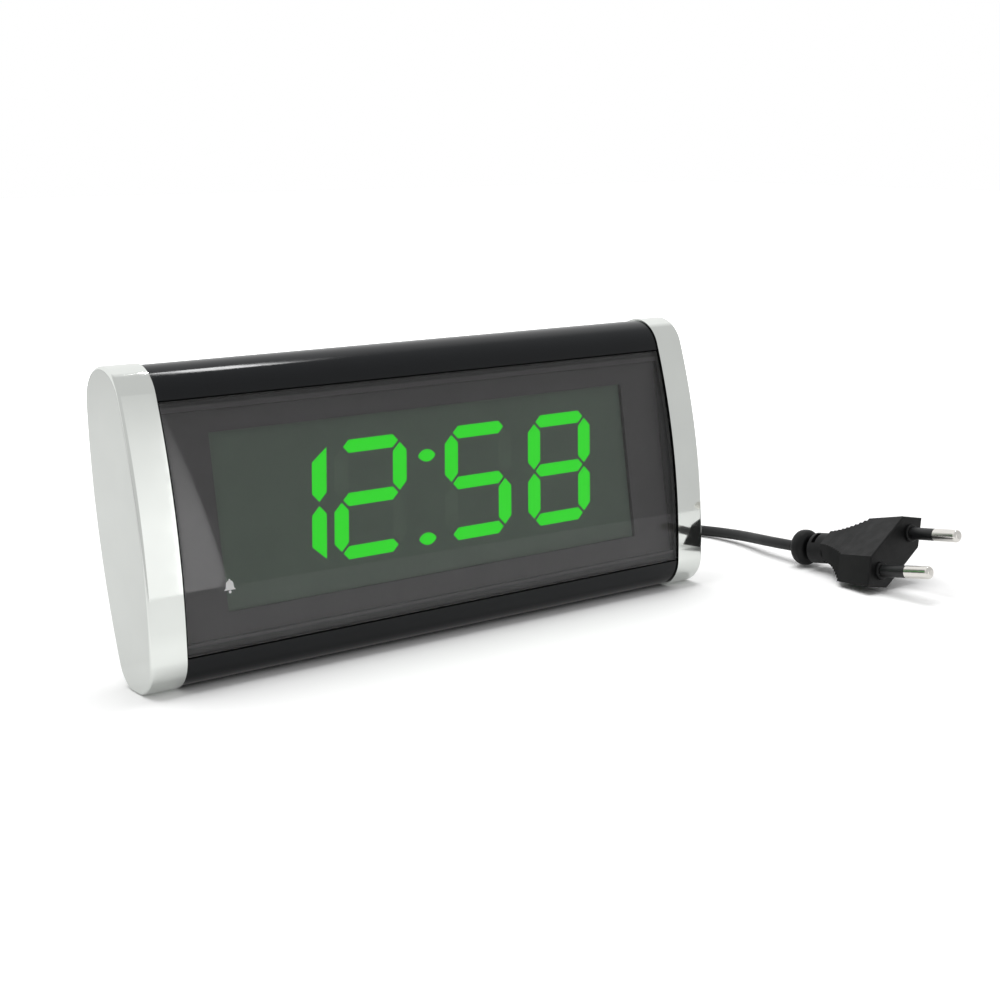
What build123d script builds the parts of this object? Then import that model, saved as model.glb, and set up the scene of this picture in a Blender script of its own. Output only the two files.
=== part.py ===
"""Digital LED desk clock with a leaning leaf-shaped case, a mains lead and a two-pin plug.

Millimetres. X runs along the clock, -Y is the front, Z is up. The origin lies on the table,
under the middle of the clock.
"""
import os
from math import asin, cos, degrees, pi, radians, sin, sqrt, tan

from build123d import *

# Side outline: two end roundings joined by two long bows
body_width = 192.0
foot_radius = 9.6
crown_radius = 10.1
crown_set_back = 11.7
crown_rise = 64.1
front_radius = 203.0
back_radius = 208.0
foot_flat = 0.4

# Case
cap_width = 10.3
cap_wall = 1.6
cap_face = 2.0
cap_edge_radius = 0.9
cap_gap = 0.3
cap_fit = 0.15
peg_radius = 2.5
peg_fit = 0.1
peg_height_shares = (-0.46, 0.43)
shell_inset = 0.5
shell_wall = 2.2
end_plate = 2.0
lens_thickness = 2.0
lens_foot_lift = 0.2
lens_top_lift = 1.2
seam_gap = 0.4
seat_gap = 0.1
ledge_thickness = 1.2
ledge_reach = 3.0
ledge_root = 5.0
cover_foot_drop = 1.2
cover_top_drop = 2.3
cover_gap = 0.3
overrun = 1.0

# Case screws and their bosses
boss_radius = 3.6
boss_wall_lap = 0.4
boss_foot_inset = 4.3
boss_top_inset = 6.3
screw_pad = 1.4
screw_floor = 1.2
screw_radius = 1.3
screw_head_radius = 2.2
screw_head_height = 1.6
screw_grip = 6.0
screw_fit = 0.2
screw_slot_width = 0.7
screw_slot_depth = 0.6

# Power housing behind the rear cover
housing_wall = 2.0
housing_head_room = 8.3
housing_slope_rise = 6.0
housing_ground_gap = 1.0
housing_foot_gap = 1.5
housing_lip_rise = 11.0
housing_crest_radius = 6.0
housing_heel_radius = 3.0
housing_toe_radius = 1.5
housing_side_radius = 2.5
pad_radius = 4.5
pad_recess = 0.6
pad_fit = 0.1
pad_inset_x = 8.0
pad_inset_y = 8.0
vent_count = 7
vent_width = 2.0
vent_height = 16.0
vent_pitch = 4.4
vent_rise = 23.0
opening_lift = 2.0

# Display
window_side_margin = 14.4
mask_band = 6.8
mask_lap = 0.33
window_rise = 0.2
mask_thickness = 1.2
mask_side_gap = 0.3
block_lap = 1.2
block_depth = 6.0
segment_depth = 4.0
digit_width_share = 0.136
digit_height_share = 0.615
digit_slant = 6.9
digit_centre_height = 1.0
upright_stroke = 4.6
level_stroke = 3.6
segment_gap = 0.8
one_centre_share = -0.278
one_overshoot = 0.6
one_mitre = 3.7
digit_centre_shares = (-0.16, 0.102, 0.3155)
lit_by_digit = ("abged", "afgcd", "abcdefg")
colon_width = 6.0
colon_height = 3.5
colon_x_shares = (-0.019, -0.0373)
colon_y_shares = (0.215, -0.283)

# Main board and what is on it
board_side_gap = 7.1
board_foot_lap = 3.5
board_head_lap = 1.0
board_thickness = 1.6
post_radius = 2.4
post_inset = 2.7
post_height_share = 0.3
board_screw_radius = 1.0
board_screw_head_radius = 2.2
board_screw_head_height = 1.4
board_screw_grip = 4.0
chip_length = 36.0
chip_width = 7.0
chip_height = 3.6
chip_lift = 0.6
chip_place = (-6.0, -6.0)
chip_leg_pairs = 14
chip_leg_pitch = 2.54
chip_leg_width = 0.5
chip_leg_spread = 7.62
buzzer_radius = 6.0
buzzer_height = 5.5
buzzer_port_radius = 1.2
buzzer_x_share = -0.726
buzzer_height_on_plane = 10.0
capacitor_radius = 3.1
capacitor_length = 11.0
capacitor_rim = 0.4
capacitor_place = (34.0, -8.0)
sound_hole_radius = 0.9
sound_hole_ring = 3.6
sound_hole_count = 6

# Set buttons and the alarm slide knob on the back
button_names = ("time_button", "alarm_button", "hour_button", "minute_button")
button_x_shares = (-0.42, -0.14, 0.14, 0.42)
button_drop = 13.8
button_radius = 3.2
button_proud = 1.0
button_edge = 0.6
button_hole_fit = 0.3
button_flange_lap = 1.1
button_flange = 0.8
button_stem_radius = 1.6
button_travel = 0.6
button_seat_gap = 0.2
press_gap = 0.15
switch_side = 6.0
switch_height = 2.6
plunger_radius = 1.7
plunger_height = 0.7
slider_x_share = 0.68
slider_knob_length = 4.0
slider_knob_height = 3.4
slider_travel = 4.0
slider_fit = 0.3
slider_plate_lap = 1.2
slider_plate = 0.8
slider_proud = 1.4
slider_ridge = 0.4
slider_ridge_count = 3
slider_pin_radius = 0.9
slide_switch_length = 13.0
slide_switch_height = 5.6
slide_switch_depth = 3.6

# Snooze bar on the top, behind the crest
snooze_tilt = 42.0
snooze_half_angle = 22.0
snooze_length = 44.0
snooze_proud = 0.25
snooze_corner = 2.0
snooze_edge = 0.2
snooze_fit = 0.35
snooze_flange_lap = 1.1
snooze_flange = 1.0
snooze_travel = 0.8
snooze_stem_radius = 2.0
shelf_thickness = 1.6
shelf_half_length = 9.0
shelf_tail = 4.2
shelf_nose = 2.0
hanger_rise = 3.0
hanger_drop = 2.0
shelf_depth = 4.4

# Transformer
core_width = 30.0
core_height = 25.0
core_stack = 12.0
core_leg = 5.0
core_centre_leg = 10.0
core_side_gap = 8.0
core_back_gap = 0.9
core_rib_height = 2.0
core_rib_thickness = 1.6
core_rib_spread = 20.0
bobbin_wall = 0.8
bobbin_fit = 0.1
winding_swell = 3.6
winding_gap = 0.2
winding_corner = 2.5

# Backup battery, its bay and door
battery_length = 48.5
battery_height = 26.5
battery_thickness = 17.5
battery_edge = 2.0
battery_room = 0.5
snap_room = 4.5
snap_height = 2.4
snap_radii = (2.8, 3.7)
snap_spacing = 12.7
snap_plate = 1.4
snap_ring = 0.8
snap_fit = 0.1
bay_wall = 1.5
bay_floor = 1.2
bay_panel_gap = 0.94
door_skin = 1.0
door_tongue = 0.8
door_tongue_lap = 1.1
door_fit = 0.25
door_face_gap = 0.1
door_grip_count = 4
door_grip_pitch = 2.4
door_grip_width = 1.0
door_grip_depth = 0.4
door_grip_length = 14.0
door_grip_inset = 10.0

# Cord gland in the back of the housing
gland_room = 19.0
gland_core_gap = 6.0
gland_height = 9.0
gland_neck_radius = 3.0
gland_fit = 0.1
gland_flange_radius = 4.6
gland_flange = 1.5
boot_length = 20.0
boot_root_radius = 3.6
boot_tip_radius = 2.5
boot_rib_count = 6
boot_rib_depth = 0.35

# Cord, its coil and the tie
cord_diameter = 3.6
bend_run_share = 0.45
coil_pitch = 4.2
coil_layer_rise = 4.1
coil_outer_radius = 27.3
coil_half_turns = 6
coil_x = 21.1
coil_near_y = 75.1
tie_thickness = 0.8
tie_width = 5.0
tie_room = 0.5
tie_corner = 1.5
coil_lift = 0.3

# Plug
plug_face_place = (141.5, -64.0, 11.5)
plug_heading = 2.2
plug_pitch = 8.3
plug_roll = 30.9
plug_half_width = 17.1
plug_shoulder_half = 10.0
plug_half_thickness = 6.45
plug_prism = 13.4
plug_face_edge = 0.5
plug_approach = 12.0
plug_step_count = 9
plug_taper = 12.6
plug_neck_half_width = 5.4
plug_neck_half_thickness = 4.7
plug_neck = 6.0
plug_slot_width = 4.6
plug_slot_depth = 1.6
plug_slot_length = 1.5
plug_slot_set_in = 1.2
plug_bead_radius = 5.85
plug_bead_length = 5.6
plug_waist = 2.0
plug_waist_radius = 3.0
plug_bead_edge = 2.4
plug_draft_share = 0.9
plug_bow_power = 1.6
pin_length = 19.0
pin_sleeve = 10.0
pin_radius = 2.0
pin_core_radius = 1.5
pin_root = 6.0
pin_sleeve_radius = 1.95
pin_fit = 0.05
pin_base_spacing = 18.6
pin_tip_spacing = 17.5
pin_tip_radius = 1.2
pin_collar = 1.1
pin_collar_radius = 2.8
pin_collar_root = 0.5
pin_collar_edge = 0.5

os.makedirs("parts", exist_ok=True)


def save(piece, name):
    """Label a finished piece and write it under its node name."""
    piece.part.label = name
    export_step(piece.part, f"parts/{name}.step")


# Places that follow from the driving sizes; sketch vectors hold (Y, Z). The outline is first
# worked out from the foot's centre, because the housing's depth follows from what it holds.
bay_foot = housing_ground_gap + housing_wall + bay_floor
bay_top = bay_foot + battery_height + 2 * battery_room
housing_back_height = bay_top + housing_head_room
housing_root_height = housing_back_height + housing_slope_rise
housing_lip_height = housing_ground_gap + housing_lip_rise
bay_length = battery_length + battery_room + snap_room
housing_length = 2 * housing_wall + core_side_gap + core_width + gland_room + bay_wall + bay_length
housing_half = housing_length / 2
core_x = housing_wall + core_side_gap + core_width / 2 - housing_half
gland_x = core_x + core_width / 2 + gland_core_gap
foot_rise = foot_radius - foot_flat
shell_half = body_width / 2 - cap_width - cap_gap
skin_front = front_radius - shell_inset
skin_back = back_radius - shell_inset
inner_inset = shell_inset + shell_wall


def bow_offset(radius, side):
    """Centre of a long bow that runs tangent to both end roundings, from the foot's centre."""
    axis = Vector(crown_set_back, crown_rise)
    to_foot = radius - foot_radius
    to_crown = radius - crown_radius
    along = (to_foot**2 - to_crown**2 + axis.length**2) / (2 * axis.length)
    across = sqrt(to_foot**2 - along**2)
    normal = Vector(axis.Y, -axis.X).normalized() * side
    return axis.normalized() * along + normal * across


def back_reach(height, inset):
    """How far the back wall lies behind the foot's centre at a height."""
    centre = bow_offset(back_radius, -1)
    return centre.X + sqrt((back_radius - inset) ** 2 - (height - foot_rise - centre.Y) ** 2)


bay_depth = battery_thickness + battery_room + door_tongue + door_skin + 3 * door_face_gap
overall_depth = foot_radius + back_reach(bay_top, shell_inset) + bay_panel_gap + bay_floor + bay_depth
half_depth = overall_depth / 2
foot_centre = Vector(foot_radius - half_depth, foot_rise)
crown_centre = foot_centre + Vector(crown_set_back, crown_rise)
front_bow = foot_centre + bow_offset(front_radius, 1)
back_bow = foot_centre + bow_offset(back_radius, -1)
lens_foot_height = foot_centre.Y + lens_foot_lift
lens_top_height = crown_centre.Y + lens_top_lift
cover_foot_height = foot_centre.Y - cover_foot_drop
cover_top_height = crown_centre.Y - cover_top_drop


def leaf(inset):
    """Side outline, drawn the given distance inside the full one, as four tangent arcs."""
    front_to_foot = (foot_centre - front_bow).normalized()
    front_to_crown = (crown_centre - front_bow).normalized()
    back_to_foot = (foot_centre - back_bow).normalized()
    back_to_crown = (crown_centre - back_bow).normalized()
    front_reach = front_radius - inset
    back_reach = back_radius - inset
    front_low = front_bow + front_to_foot * front_reach
    front_high = front_bow + front_to_crown * front_reach
    front_mid = front_bow + (front_to_foot + front_to_crown).normalized() * front_reach
    back_low = back_bow + back_to_foot * back_reach
    back_high = back_bow + back_to_crown * back_reach
    back_mid = back_bow + (back_to_foot + back_to_crown).normalized() * back_reach
    foot_mid = foot_centre + (front_to_foot + back_to_foot).normalized() * (foot_radius - inset)
    crown_mid = crown_centre + (front_to_crown + back_to_crown).normalized() * (crown_radius - inset)
    with BuildSketch() as outline:
        with BuildLine():
            ThreePointArc(front_low, foot_mid, back_low)
            ThreePointArc(back_low, back_mid, back_high)
            ThreePointArc(back_high, crown_mid, front_high)
            ThreePointArc(front_high, front_mid, front_low)
        make_face()
    return outline.sketch


def bow_sector(bow, outer, inner, start, end):
    """Strip of a curved wall between two radii and two angles of a bow."""
    with BuildSketch() as strip:
        with BuildLine():
            outer_arc = CenterArc(bow, outer, start, end - start)
            inner_arc = CenterArc(bow, inner, start, end - start)
            Line(outer_arc @ 0, inner_arc @ 0)
            Line(outer_arc @ 1, inner_arc @ 1)
        make_face()
    return strip.sketch


def front_angle(height):
    """Angle about the front bow's centre of a point of the skin at a height."""
    return 180 - degrees(asin((height - front_bow.Y) / skin_front))


def back_angle(height):
    """Angle about the back bow's centre of a point of the skin at a height."""
    return degrees(asin((height - back_bow.Y) / skin_back))


def bow_degrees(length, radius):
    """Angle that a length spans on a bow."""
    return degrees(length / radius)


lens_low = front_angle(lens_foot_height)
lens_high = front_angle(lens_top_height)
lens_mid = radians((lens_low + lens_high) / 2)
lens_out = Vector(cos(lens_mid), sin(lens_mid))
lens_up = Vector(lens_out.Y, -lens_out.X)
lens_crown = front_bow + lens_out * skin_front
lens_half = skin_front * sin(radians(lens_low - lens_high) / 2)
cover_low = back_angle(cover_foot_height)
cover_high = back_angle(cover_top_height)

# The display's own plane touches the lens crown: x along the clock, y up the slope, z outwards
display_plane = Plane(
    origin=(0, lens_crown.X, lens_crown.Y),
    x_dir=(1, 0, 0),
    z_dir=(0, lens_out.X, lens_out.Y),
)
ledge_outer = skin_front - lens_thickness - seat_gap
ledge_inner = ledge_outer - ledge_thickness
mask_half_height = lens_half - ledge_reach + mask_lap
window_width = 2 * (shell_half - window_side_margin)
window_height = 2 * (mask_half_height - mask_band)
mask_depth = skin_front - sqrt(ledge_inner**2 - mask_half_height**2) + seat_gap
block_face_depth = mask_depth + mask_thickness
board_depth = block_face_depth + block_depth
board_back = board_depth + board_thickness
board_half_width = shell_half - board_side_gap
board_foot = -window_height / 2 - board_foot_lap
board_top = window_height / 2 + board_head_lap
post_x = board_half_width - post_inset
post_heights = (-post_height_share * window_height, post_height_share * window_height)
boss_heights = (boss_foot_inset - mask_half_height, mask_half_height - boss_top_inset)
peg_heights = [share * mask_half_height for share in peg_height_shares]
button_height_on_plane = mask_half_height - button_drop
button_places = [share * shell_half for share in button_x_shares]
slider_x = slider_x_share * shell_half
buzzer_place = (buzzer_x_share * shell_half, buzzer_height_on_plane)
digit_width = digit_width_share * window_width
digit_height = digit_height_share * window_height
one_centre = one_centre_share * window_width
digit_centres = [share * window_width for share in digit_centre_shares]
colon_places = [
    (x_share * window_width, y_share * window_height)
    for x_share, y_share in zip(colon_x_shares, colon_y_shares)
]


def back_depth(height, inset):
    """Depth behind the lens crown at which a line square to the display meets the back wall."""
    start = lens_crown + lens_up * height - back_bow
    along = start.dot(lens_out)
    return along + sqrt(along**2 - start.length**2 + (back_radius - inset) ** 2)


def clear_depth(height, reach):
    """Depth of the nearest point of the back wall's inside over a round footprint."""
    return min(back_depth(height - reach, inner_inset), back_depth(height + reach, inner_inset))


boss_x = shell_half - boss_radius + boss_wall_lap

# Snooze bar: z points out of the key, the origin is the centre of the crown's rounding
snooze_out = Vector(sin(radians(snooze_tilt)), cos(radians(snooze_tilt)))
snooze_across = Vector(snooze_out.Y, -snooze_out.X)
snooze_plane = Plane(
    origin=(0, crown_centre.X, crown_centre.Y),
    x_dir=(1, 0, 0),
    z_dir=(0, snooze_out.X, snooze_out.Y),
)
crown_skin = crown_radius - shell_inset
crown_inside = crown_skin - shell_wall
snooze_half_width = crown_skin * sin(radians(snooze_half_angle))
snooze_flange_half = snooze_half_width + snooze_flange_lap
snooze_flange_top = sqrt(crown_inside**2 - snooze_flange_half**2) - button_seat_gap
snooze_switch_top = switch_height + plunger_height - shelf_depth


def crown_point(out, across):
    """Point of the side view, measured from the crown's centre along and across the key's travel."""
    return crown_centre + snooze_out * out + snooze_across * across


# Front shell: top and bottom strips, lens ledges, end plates, screw bosses, snooze shelf
with BuildPart() as front_shell:
    seam = bow_degrees(seam_gap / 2, skin_front)
    parting = bow_degrees(cover_gap / 2, skin_back)
    reach = bow_degrees(ledge_reach, ledge_outer)
    root = bow_degrees(ledge_root, ledge_outer)
    with BuildSketch(Plane.YZ.offset(-shell_half)):
        add(leaf(shell_inset))
        add(leaf(inner_inset), mode=Mode.SUBTRACT)
        add(
            bow_sector(
                front_bow, skin_front + overrun, skin_front - shell_wall - overrun,
                lens_high - seam, lens_low + seam,
            ),
            mode=Mode.SUBTRACT,
        )
        add(
            bow_sector(
                back_bow, skin_back + overrun, skin_back - shell_wall - overrun,
                cover_low - parting, cover_high + parting,
            ),
            mode=Mode.SUBTRACT,
        )
        add(bow_sector(front_bow, ledge_outer, ledge_inner, lens_low - reach, lens_low + root))
        add(bow_sector(front_bow, ledge_outer, ledge_inner, lens_high - root, lens_high + reach))
    extrude(amount=2 * shell_half)
    for side in (-1, 1):
        with BuildSketch(Plane.YZ.offset(side * shell_half)):
            add(leaf(cap_wall + cap_fit))
            with Locations(*[lens_crown + lens_up * h - lens_out * board_depth for h in peg_heights]):
                Circle(peg_radius + peg_fit, mode=Mode.SUBTRACT)
        extrude(amount=side * end_plate)
    for height in boss_heights:
        boss_end = clear_depth(height, boss_radius) - screw_pad
        with BuildSketch(display_plane.offset(-block_face_depth)):
            with Locations((-boss_x, height), (boss_x, height)):
                Circle(boss_radius)
        extrude(amount=block_face_depth - boss_end)
        with BuildSketch(display_plane.offset(-boss_end)):
            with Locations((-boss_x, height), (boss_x, height)):
                Circle(screw_radius)
        extrude(amount=screw_grip, mode=Mode.SUBTRACT)
    shelf_under = -shelf_depth - shelf_thickness
    with BuildSketch(Plane.YZ.offset(-shelf_half_length)):
        Polygon(
            crown_point(-shelf_depth, -shelf_nose), crown_point(-shelf_depth, shelf_tail),
            crown_point(shelf_under, shelf_tail), crown_point(shelf_under, -shelf_nose),
            align=None,
        )
    extrude(amount=2 * shelf_half_length)
    for start in (-shelf_half_length, shelf_half_length - shelf_thickness):
        with BuildSketch(Plane.YZ.offset(start)):
            Polygon(
                crown_point(shelf_under, -shelf_nose), crown_point(shelf_under, shelf_nose),
                crown_point(hanger_rise, -snooze_flange_half - snooze_fit),
                crown_point(hanger_rise, -crown_radius), crown_point(-hanger_drop, -crown_radius),
                align=None,
            )
            add(leaf(shell_inset + shell_wall / 2), mode=Mode.INTERSECT)
        extrude(amount=shelf_thickness)
    with BuildSketch(snooze_plane):
        RectangleRounded(
            snooze_length + 2 * snooze_fit,
            2 * (snooze_half_width + snooze_fit),
            snooze_corner + snooze_fit,
        )
    extrude(amount=crown_radius + overrun, mode=Mode.SUBTRACT)
save(front_shell, "front_shell")

# Lens: one curved smoked sheet between the strips, let in flush on the ledges
with BuildPart() as lens:
    with BuildSketch(Plane.YZ.offset(seam_gap / 2 - shell_half)):
        add(
            bow_sector(
                front_bow, skin_front, skin_front - lens_thickness,
                lens_high + seam, lens_low - seam,
            )
        )
    extrude(amount=2 * shell_half - seam_gap)
save(lens, "lens")

# End caps: hollow covers that push onto the end plates with two pegs each
peg_centres = [lens_crown + lens_up * height - lens_out * board_depth for height in peg_heights]
for side, cap_name in ((-1, "left_end_cap"), (1, "right_end_cap")):
    with BuildPart() as end_cap:
        with BuildSketch(Plane.YZ.offset(side * body_width / 2)):
            add(leaf(0))
        extrude(amount=-side * cap_width)
        outward = Axis.X if side > 0 else -Axis.X
        fillet(end_cap.faces().sort_by(outward)[-1].edges(), cap_edge_radius)
        with BuildSketch(Plane.YZ.offset(side * (body_width / 2 - cap_face))):
            add(leaf(cap_wall))
        extrude(amount=-side * (cap_width - cap_face), mode=Mode.SUBTRACT)
        with BuildSketch(Plane.YZ.offset(side * (body_width / 2 - cap_face))):
            with Locations(*peg_centres):
                Circle(peg_radius)
        extrude(amount=-side * (cap_width + cap_gap - cap_face))
        with BuildSketch(Plane.XY):
            Rectangle(2 * body_width, 2 * overall_depth)
        extrude(amount=-foot_flat - overrun, mode=Mode.SUBTRACT)
    save(end_cap, cap_name)


def skin_y(height, inset):
    """Y of the back wall at a height."""
    return back_bow.X + sqrt((back_radius - inset) ** 2 - (height - back_bow.Y) ** 2)


def housing_outline(inset):
    """Side outline of the power housing, drawn inside itself by a wall."""
    mid_wall = shell_inset + shell_wall / 2
    corners = (
        Vector(skin_y(housing_root_height, mid_wall), housing_root_height),
        Vector(half_depth, housing_back_height),
        Vector(half_depth, housing_ground_gap),
        Vector(skin_y(cover_foot_height, shell_inset) + housing_foot_gap, housing_ground_gap),
        Vector(skin_y(housing_lip_height, mid_wall), housing_lip_height),
    )
    with BuildSketch() as outline:
        Polygon(*corners, align=None)
        if inset:
            offset(amount=-inset, kind=Kind.INTERSECTION)
        by_place = outline.vertices().sort_by(Axis.X)
        back_corners = by_place[-2:].sort_by(Axis.Y)
        fillet(back_corners[1], housing_crest_radius - inset)
        fillet(outline.vertices().sort_by(Axis.X)[-1], housing_heel_radius - inset)
        if not inset:
            fillet(outline.vertices().sort_by(Axis.Y)[0:2].sort_by(Axis.X)[0], housing_toe_radius)
    return outline.sketch


# Battery bay, measured from the housing's back and right-hand end
bay_right = housing_half - housing_wall
bay_left = bay_right - bay_length
bay_mouth = half_depth - door_skin - door_tongue - 2 * door_face_gap
bay_deep = bay_mouth - battery_thickness - battery_room - door_face_gap
battery_right = bay_right - battery_room
battery_left = battery_right - battery_length
battery_middle = bay_foot + battery_room + battery_height / 2
battery_back = bay_mouth - door_face_gap - battery_room / 2
battery_front = battery_back - battery_thickness
groove_deep = bay_mouth
groove_shallow = half_depth - door_skin
groove_foot = bay_foot - door_tongue_lap
groove_top = bay_top + door_tongue_lap


def block(x_range, y_range, z_range):
    """Middle and size of a box that spans the given ranges."""
    ranges = (x_range, y_range, z_range)
    middle = tuple((low + high) / 2 for low, high in ranges)
    size = tuple(high - low for low, high in ranges)
    return middle, size


# Transformer places
bobbin_sleeve = bobbin_fit + bobbin_wall
bobbin_reach = bobbin_sleeve + winding_swell + winding_gap
core_y = half_depth - housing_wall - core_back_gap - core_stack / 2 - bobbin_reach
core_foot = housing_ground_gap + housing_wall + core_rib_height
core_middle = core_foot + core_height / 2

# Depths of the hand controls, measured behind the lens crown
control_skin = back_depth(button_height_on_plane, shell_inset)
flange_radius = button_radius + button_flange_lap
flange_top_depth = clear_depth(button_height_on_plane, flange_radius) - button_seat_gap
plunger_depth = board_back + switch_height + plunger_height
slot_length = slider_knob_length + slider_travel + 2 * slider_fit
slot_height = slider_knob_height + 2 * slider_fit
slider_plate_half = (slot_length + slider_travel) / 2 + slider_plate_lap
slider_plate_height = slot_height + 2 * slider_plate_lap
slider_top_depth = clear_depth(button_height_on_plane, slider_plate_height / 2) - button_seat_gap

opening_foot = housing_lip_height + opening_lift
opening_top = housing_back_height + opening_lift

# Rear cover: curved back panel with the power housing, bay, vents and control openings
with BuildPart() as rear_cover:
    with BuildSketch(Plane.YZ.offset(cover_gap / 2 - shell_half)):
        add(
            bow_sector(
                back_bow, skin_back, skin_back - shell_wall,
                cover_low + parting, cover_high - parting,
            )
        )
    extrude(amount=2 * shell_half - cover_gap)
    with BuildPart(mode=Mode.PRIVATE) as housing:
        with BuildSketch(Plane.YZ.offset(-housing_half)):
            add(housing_outline(0))
        extrude(amount=2 * housing_half)
        fillet(
            housing.faces().sort_by(Axis.X)[0].edges().sort_by(Axis.Y)[2:]
            + housing.faces().sort_by(Axis.X)[-1].edges().sort_by(Axis.Y)[2:],
            housing_side_radius,
        )
    add(housing.part)
    with BuildSketch(Plane.YZ.offset(housing_wall - housing_half)):
        add(housing_outline(housing_wall))
    extrude(amount=2 * (housing_half - housing_wall), mode=Mode.SUBTRACT)
    middle, size = block(
        (bay_left - bay_wall, bay_right + housing_wall / 2),
        (bay_deep - bay_floor, groove_shallow),
        (bay_foot - bay_floor - housing_wall / 2, bay_top + bay_wall),
    )
    with Locations(middle):
        Box(*size)
    middle, size = block((bay_left, bay_right), (bay_deep, half_depth + overrun), (bay_foot, bay_top))
    with Locations(middle):
        Box(*size, mode=Mode.SUBTRACT)
    middle, size = block(
        (bay_left, housing_half + overrun), (groove_deep, groove_shallow), (groove_foot, groove_top)
    )
    with Locations(middle):
        Box(*size, mode=Mode.SUBTRACT)
    middle, size = block(
        (bay_left, housing_half + overrun), (groove_shallow, half_depth + overrun), (bay_foot, bay_top)
    )
    with Locations(middle):
        Box(*size, mode=Mode.SUBTRACT)
    middle, size = block(
        (housing_wall - housing_half, bay_left - 2 * bay_wall),
        (skin_y(opening_foot, inner_inset) - overrun, skin_y(opening_top, shell_inset) + housing_wall),
        (opening_foot, opening_top),
    )
    with Locations(middle):
        Box(*size, mode=Mode.SUBTRACT)
    with BuildSketch(Plane.XY.offset(housing_ground_gap + housing_wall / 2)):
        with Locations((core_x - core_rib_spread / 2, core_y), (core_x + core_rib_spread / 2, core_y)):
            Rectangle(core_rib_thickness, core_stack)
    extrude(amount=housing_wall / 2 + core_rib_height)
    for height in boss_heights:
        pad_start = clear_depth(height, boss_radius) - screw_pad
        with BuildSketch(display_plane.offset(-pad_start)):
            with Locations((-boss_x, height), (boss_x, height)):
                Circle(boss_radius)
            Rectangle(2 * shell_half - cover_gap, 2 * overall_depth, mode=Mode.INTERSECT)
        extrude(amount=-screw_pad - shell_wall / 2)
        with BuildSketch(display_plane.offset(-pad_start)):
            with Locations((-boss_x, height), (boss_x, height)):
                Circle(screw_radius + screw_fit)
        extrude(amount=-screw_pad - 2 * shell_wall, mode=Mode.SUBTRACT)
        with BuildSketch(display_plane.offset(-pad_start - screw_floor)):
            with Locations((-boss_x, height), (boss_x, height)):
                Circle(screw_head_radius + screw_fit)
        extrude(amount=-screw_pad - 2 * shell_wall, mode=Mode.SUBTRACT)
    with BuildSketch(display_plane.offset(-board_back)):
        with Locations(*[(place, button_height_on_plane) for place in button_places]):
            Circle(button_radius + button_hole_fit)
        with Locations((slider_x, button_height_on_plane)):
            RectangleRounded(slot_length, slot_height, slider_fit)
        with Locations(buzzer_place):
            with PolarLocations(sound_hole_ring, sound_hole_count):
                Circle(sound_hole_radius)
            Circle(sound_hole_radius)
    extrude(amount=board_back - control_skin - 2 * shell_wall, mode=Mode.SUBTRACT)
    with BuildSketch(Plane.XZ.offset(-half_depth)):
        with Locations((core_x, housing_ground_gap + vent_rise)):
            with GridLocations(vent_pitch, 0, vent_count, 1):
                SlotOverall(vent_height, vent_width, rotation=90)
        with Locations((gland_x, gland_height)):
            Circle(gland_neck_radius + gland_fit)
    extrude(amount=housing_wall + overrun, mode=Mode.SUBTRACT)
    with BuildSketch(Plane.XY.offset(housing_ground_gap)):
        with GridLocations(2 * (housing_half - pad_inset_x), 0, 2, 1):
            with Locations((0, half_depth - pad_inset_y)):
                Circle(pad_radius + pad_fit)
    extrude(amount=pad_recess, mode=Mode.SUBTRACT)
save(rear_cover, "rear_cover")

# Rear feet: rubber pads let into the housing's floor
with BuildPart() as rear_feet:
    with BuildSketch(Plane.XY):
        with GridLocations(2 * (housing_half - pad_inset_x), 0, 2, 1):
            with Locations((0, half_depth - pad_inset_y)):
                Circle(pad_radius)
    extrude(amount=housing_ground_gap + pad_recess)
    chamfer(rear_feet.faces().group_by(Axis.Z)[0].edges(), pad_recess / 2)
save(rear_feet, "rear_feet")

# Case screws: slotted pan heads in the cover's counterbores
with BuildPart() as case_screws:
    for height in boss_heights:
        head_depth = clear_depth(height, boss_radius) - screw_pad + screw_floor
        with BuildSketch(display_plane.offset(-head_depth)):
            with Locations((-boss_x, height), (boss_x, height)):
                Circle(screw_radius)
        extrude(amount=screw_floor + screw_grip - screw_fit)
        with BuildSketch(display_plane.offset(-head_depth)):
            with Locations((-boss_x, height), (boss_x, height)):
                Circle(screw_head_radius)
        extrude(amount=-screw_head_height)
        with BuildSketch(display_plane.offset(-head_depth - screw_head_height)):
            with Locations((-boss_x, height), (boss_x, height)):
                Rectangle(2 * screw_head_radius, screw_slot_width)
        extrude(amount=screw_slot_depth, mode=Mode.SUBTRACT)
save(case_screws, "case_screws")

# Display mask: dark frame behind the lens, with posts that carry the board
with BuildPart() as display_mask:
    with BuildSketch(display_plane.offset(-mask_depth)):
        Rectangle(2 * (shell_half - mask_side_gap), 2 * mask_half_height)
        with Locations((0, window_rise)):
            Rectangle(window_width, window_height, mode=Mode.SUBTRACT)
    extrude(amount=-mask_thickness)
    with BuildSketch(display_plane.offset(-block_face_depth)):
        with Locations(*[(side * post_x, height) for side in (-1, 1) for height in post_heights]):
            Circle(post_radius)
    extrude(amount=-block_depth)
    with BuildSketch(display_plane.offset(-board_depth)):
        with Locations(*[(side * post_x, height) for side in (-1, 1) for height in post_heights]):
            Circle(board_screw_radius)
    extrude(amount=board_screw_grip, mode=Mode.SUBTRACT)
save(display_mask, "display_mask")


def sheared(points):
    """Lean upright digit points to the digits' slant, about the display's middle."""
    lean = tan(radians(digit_slant))
    return [(x + y * lean, y + digit_centre_height) for x, y in points]


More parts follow.
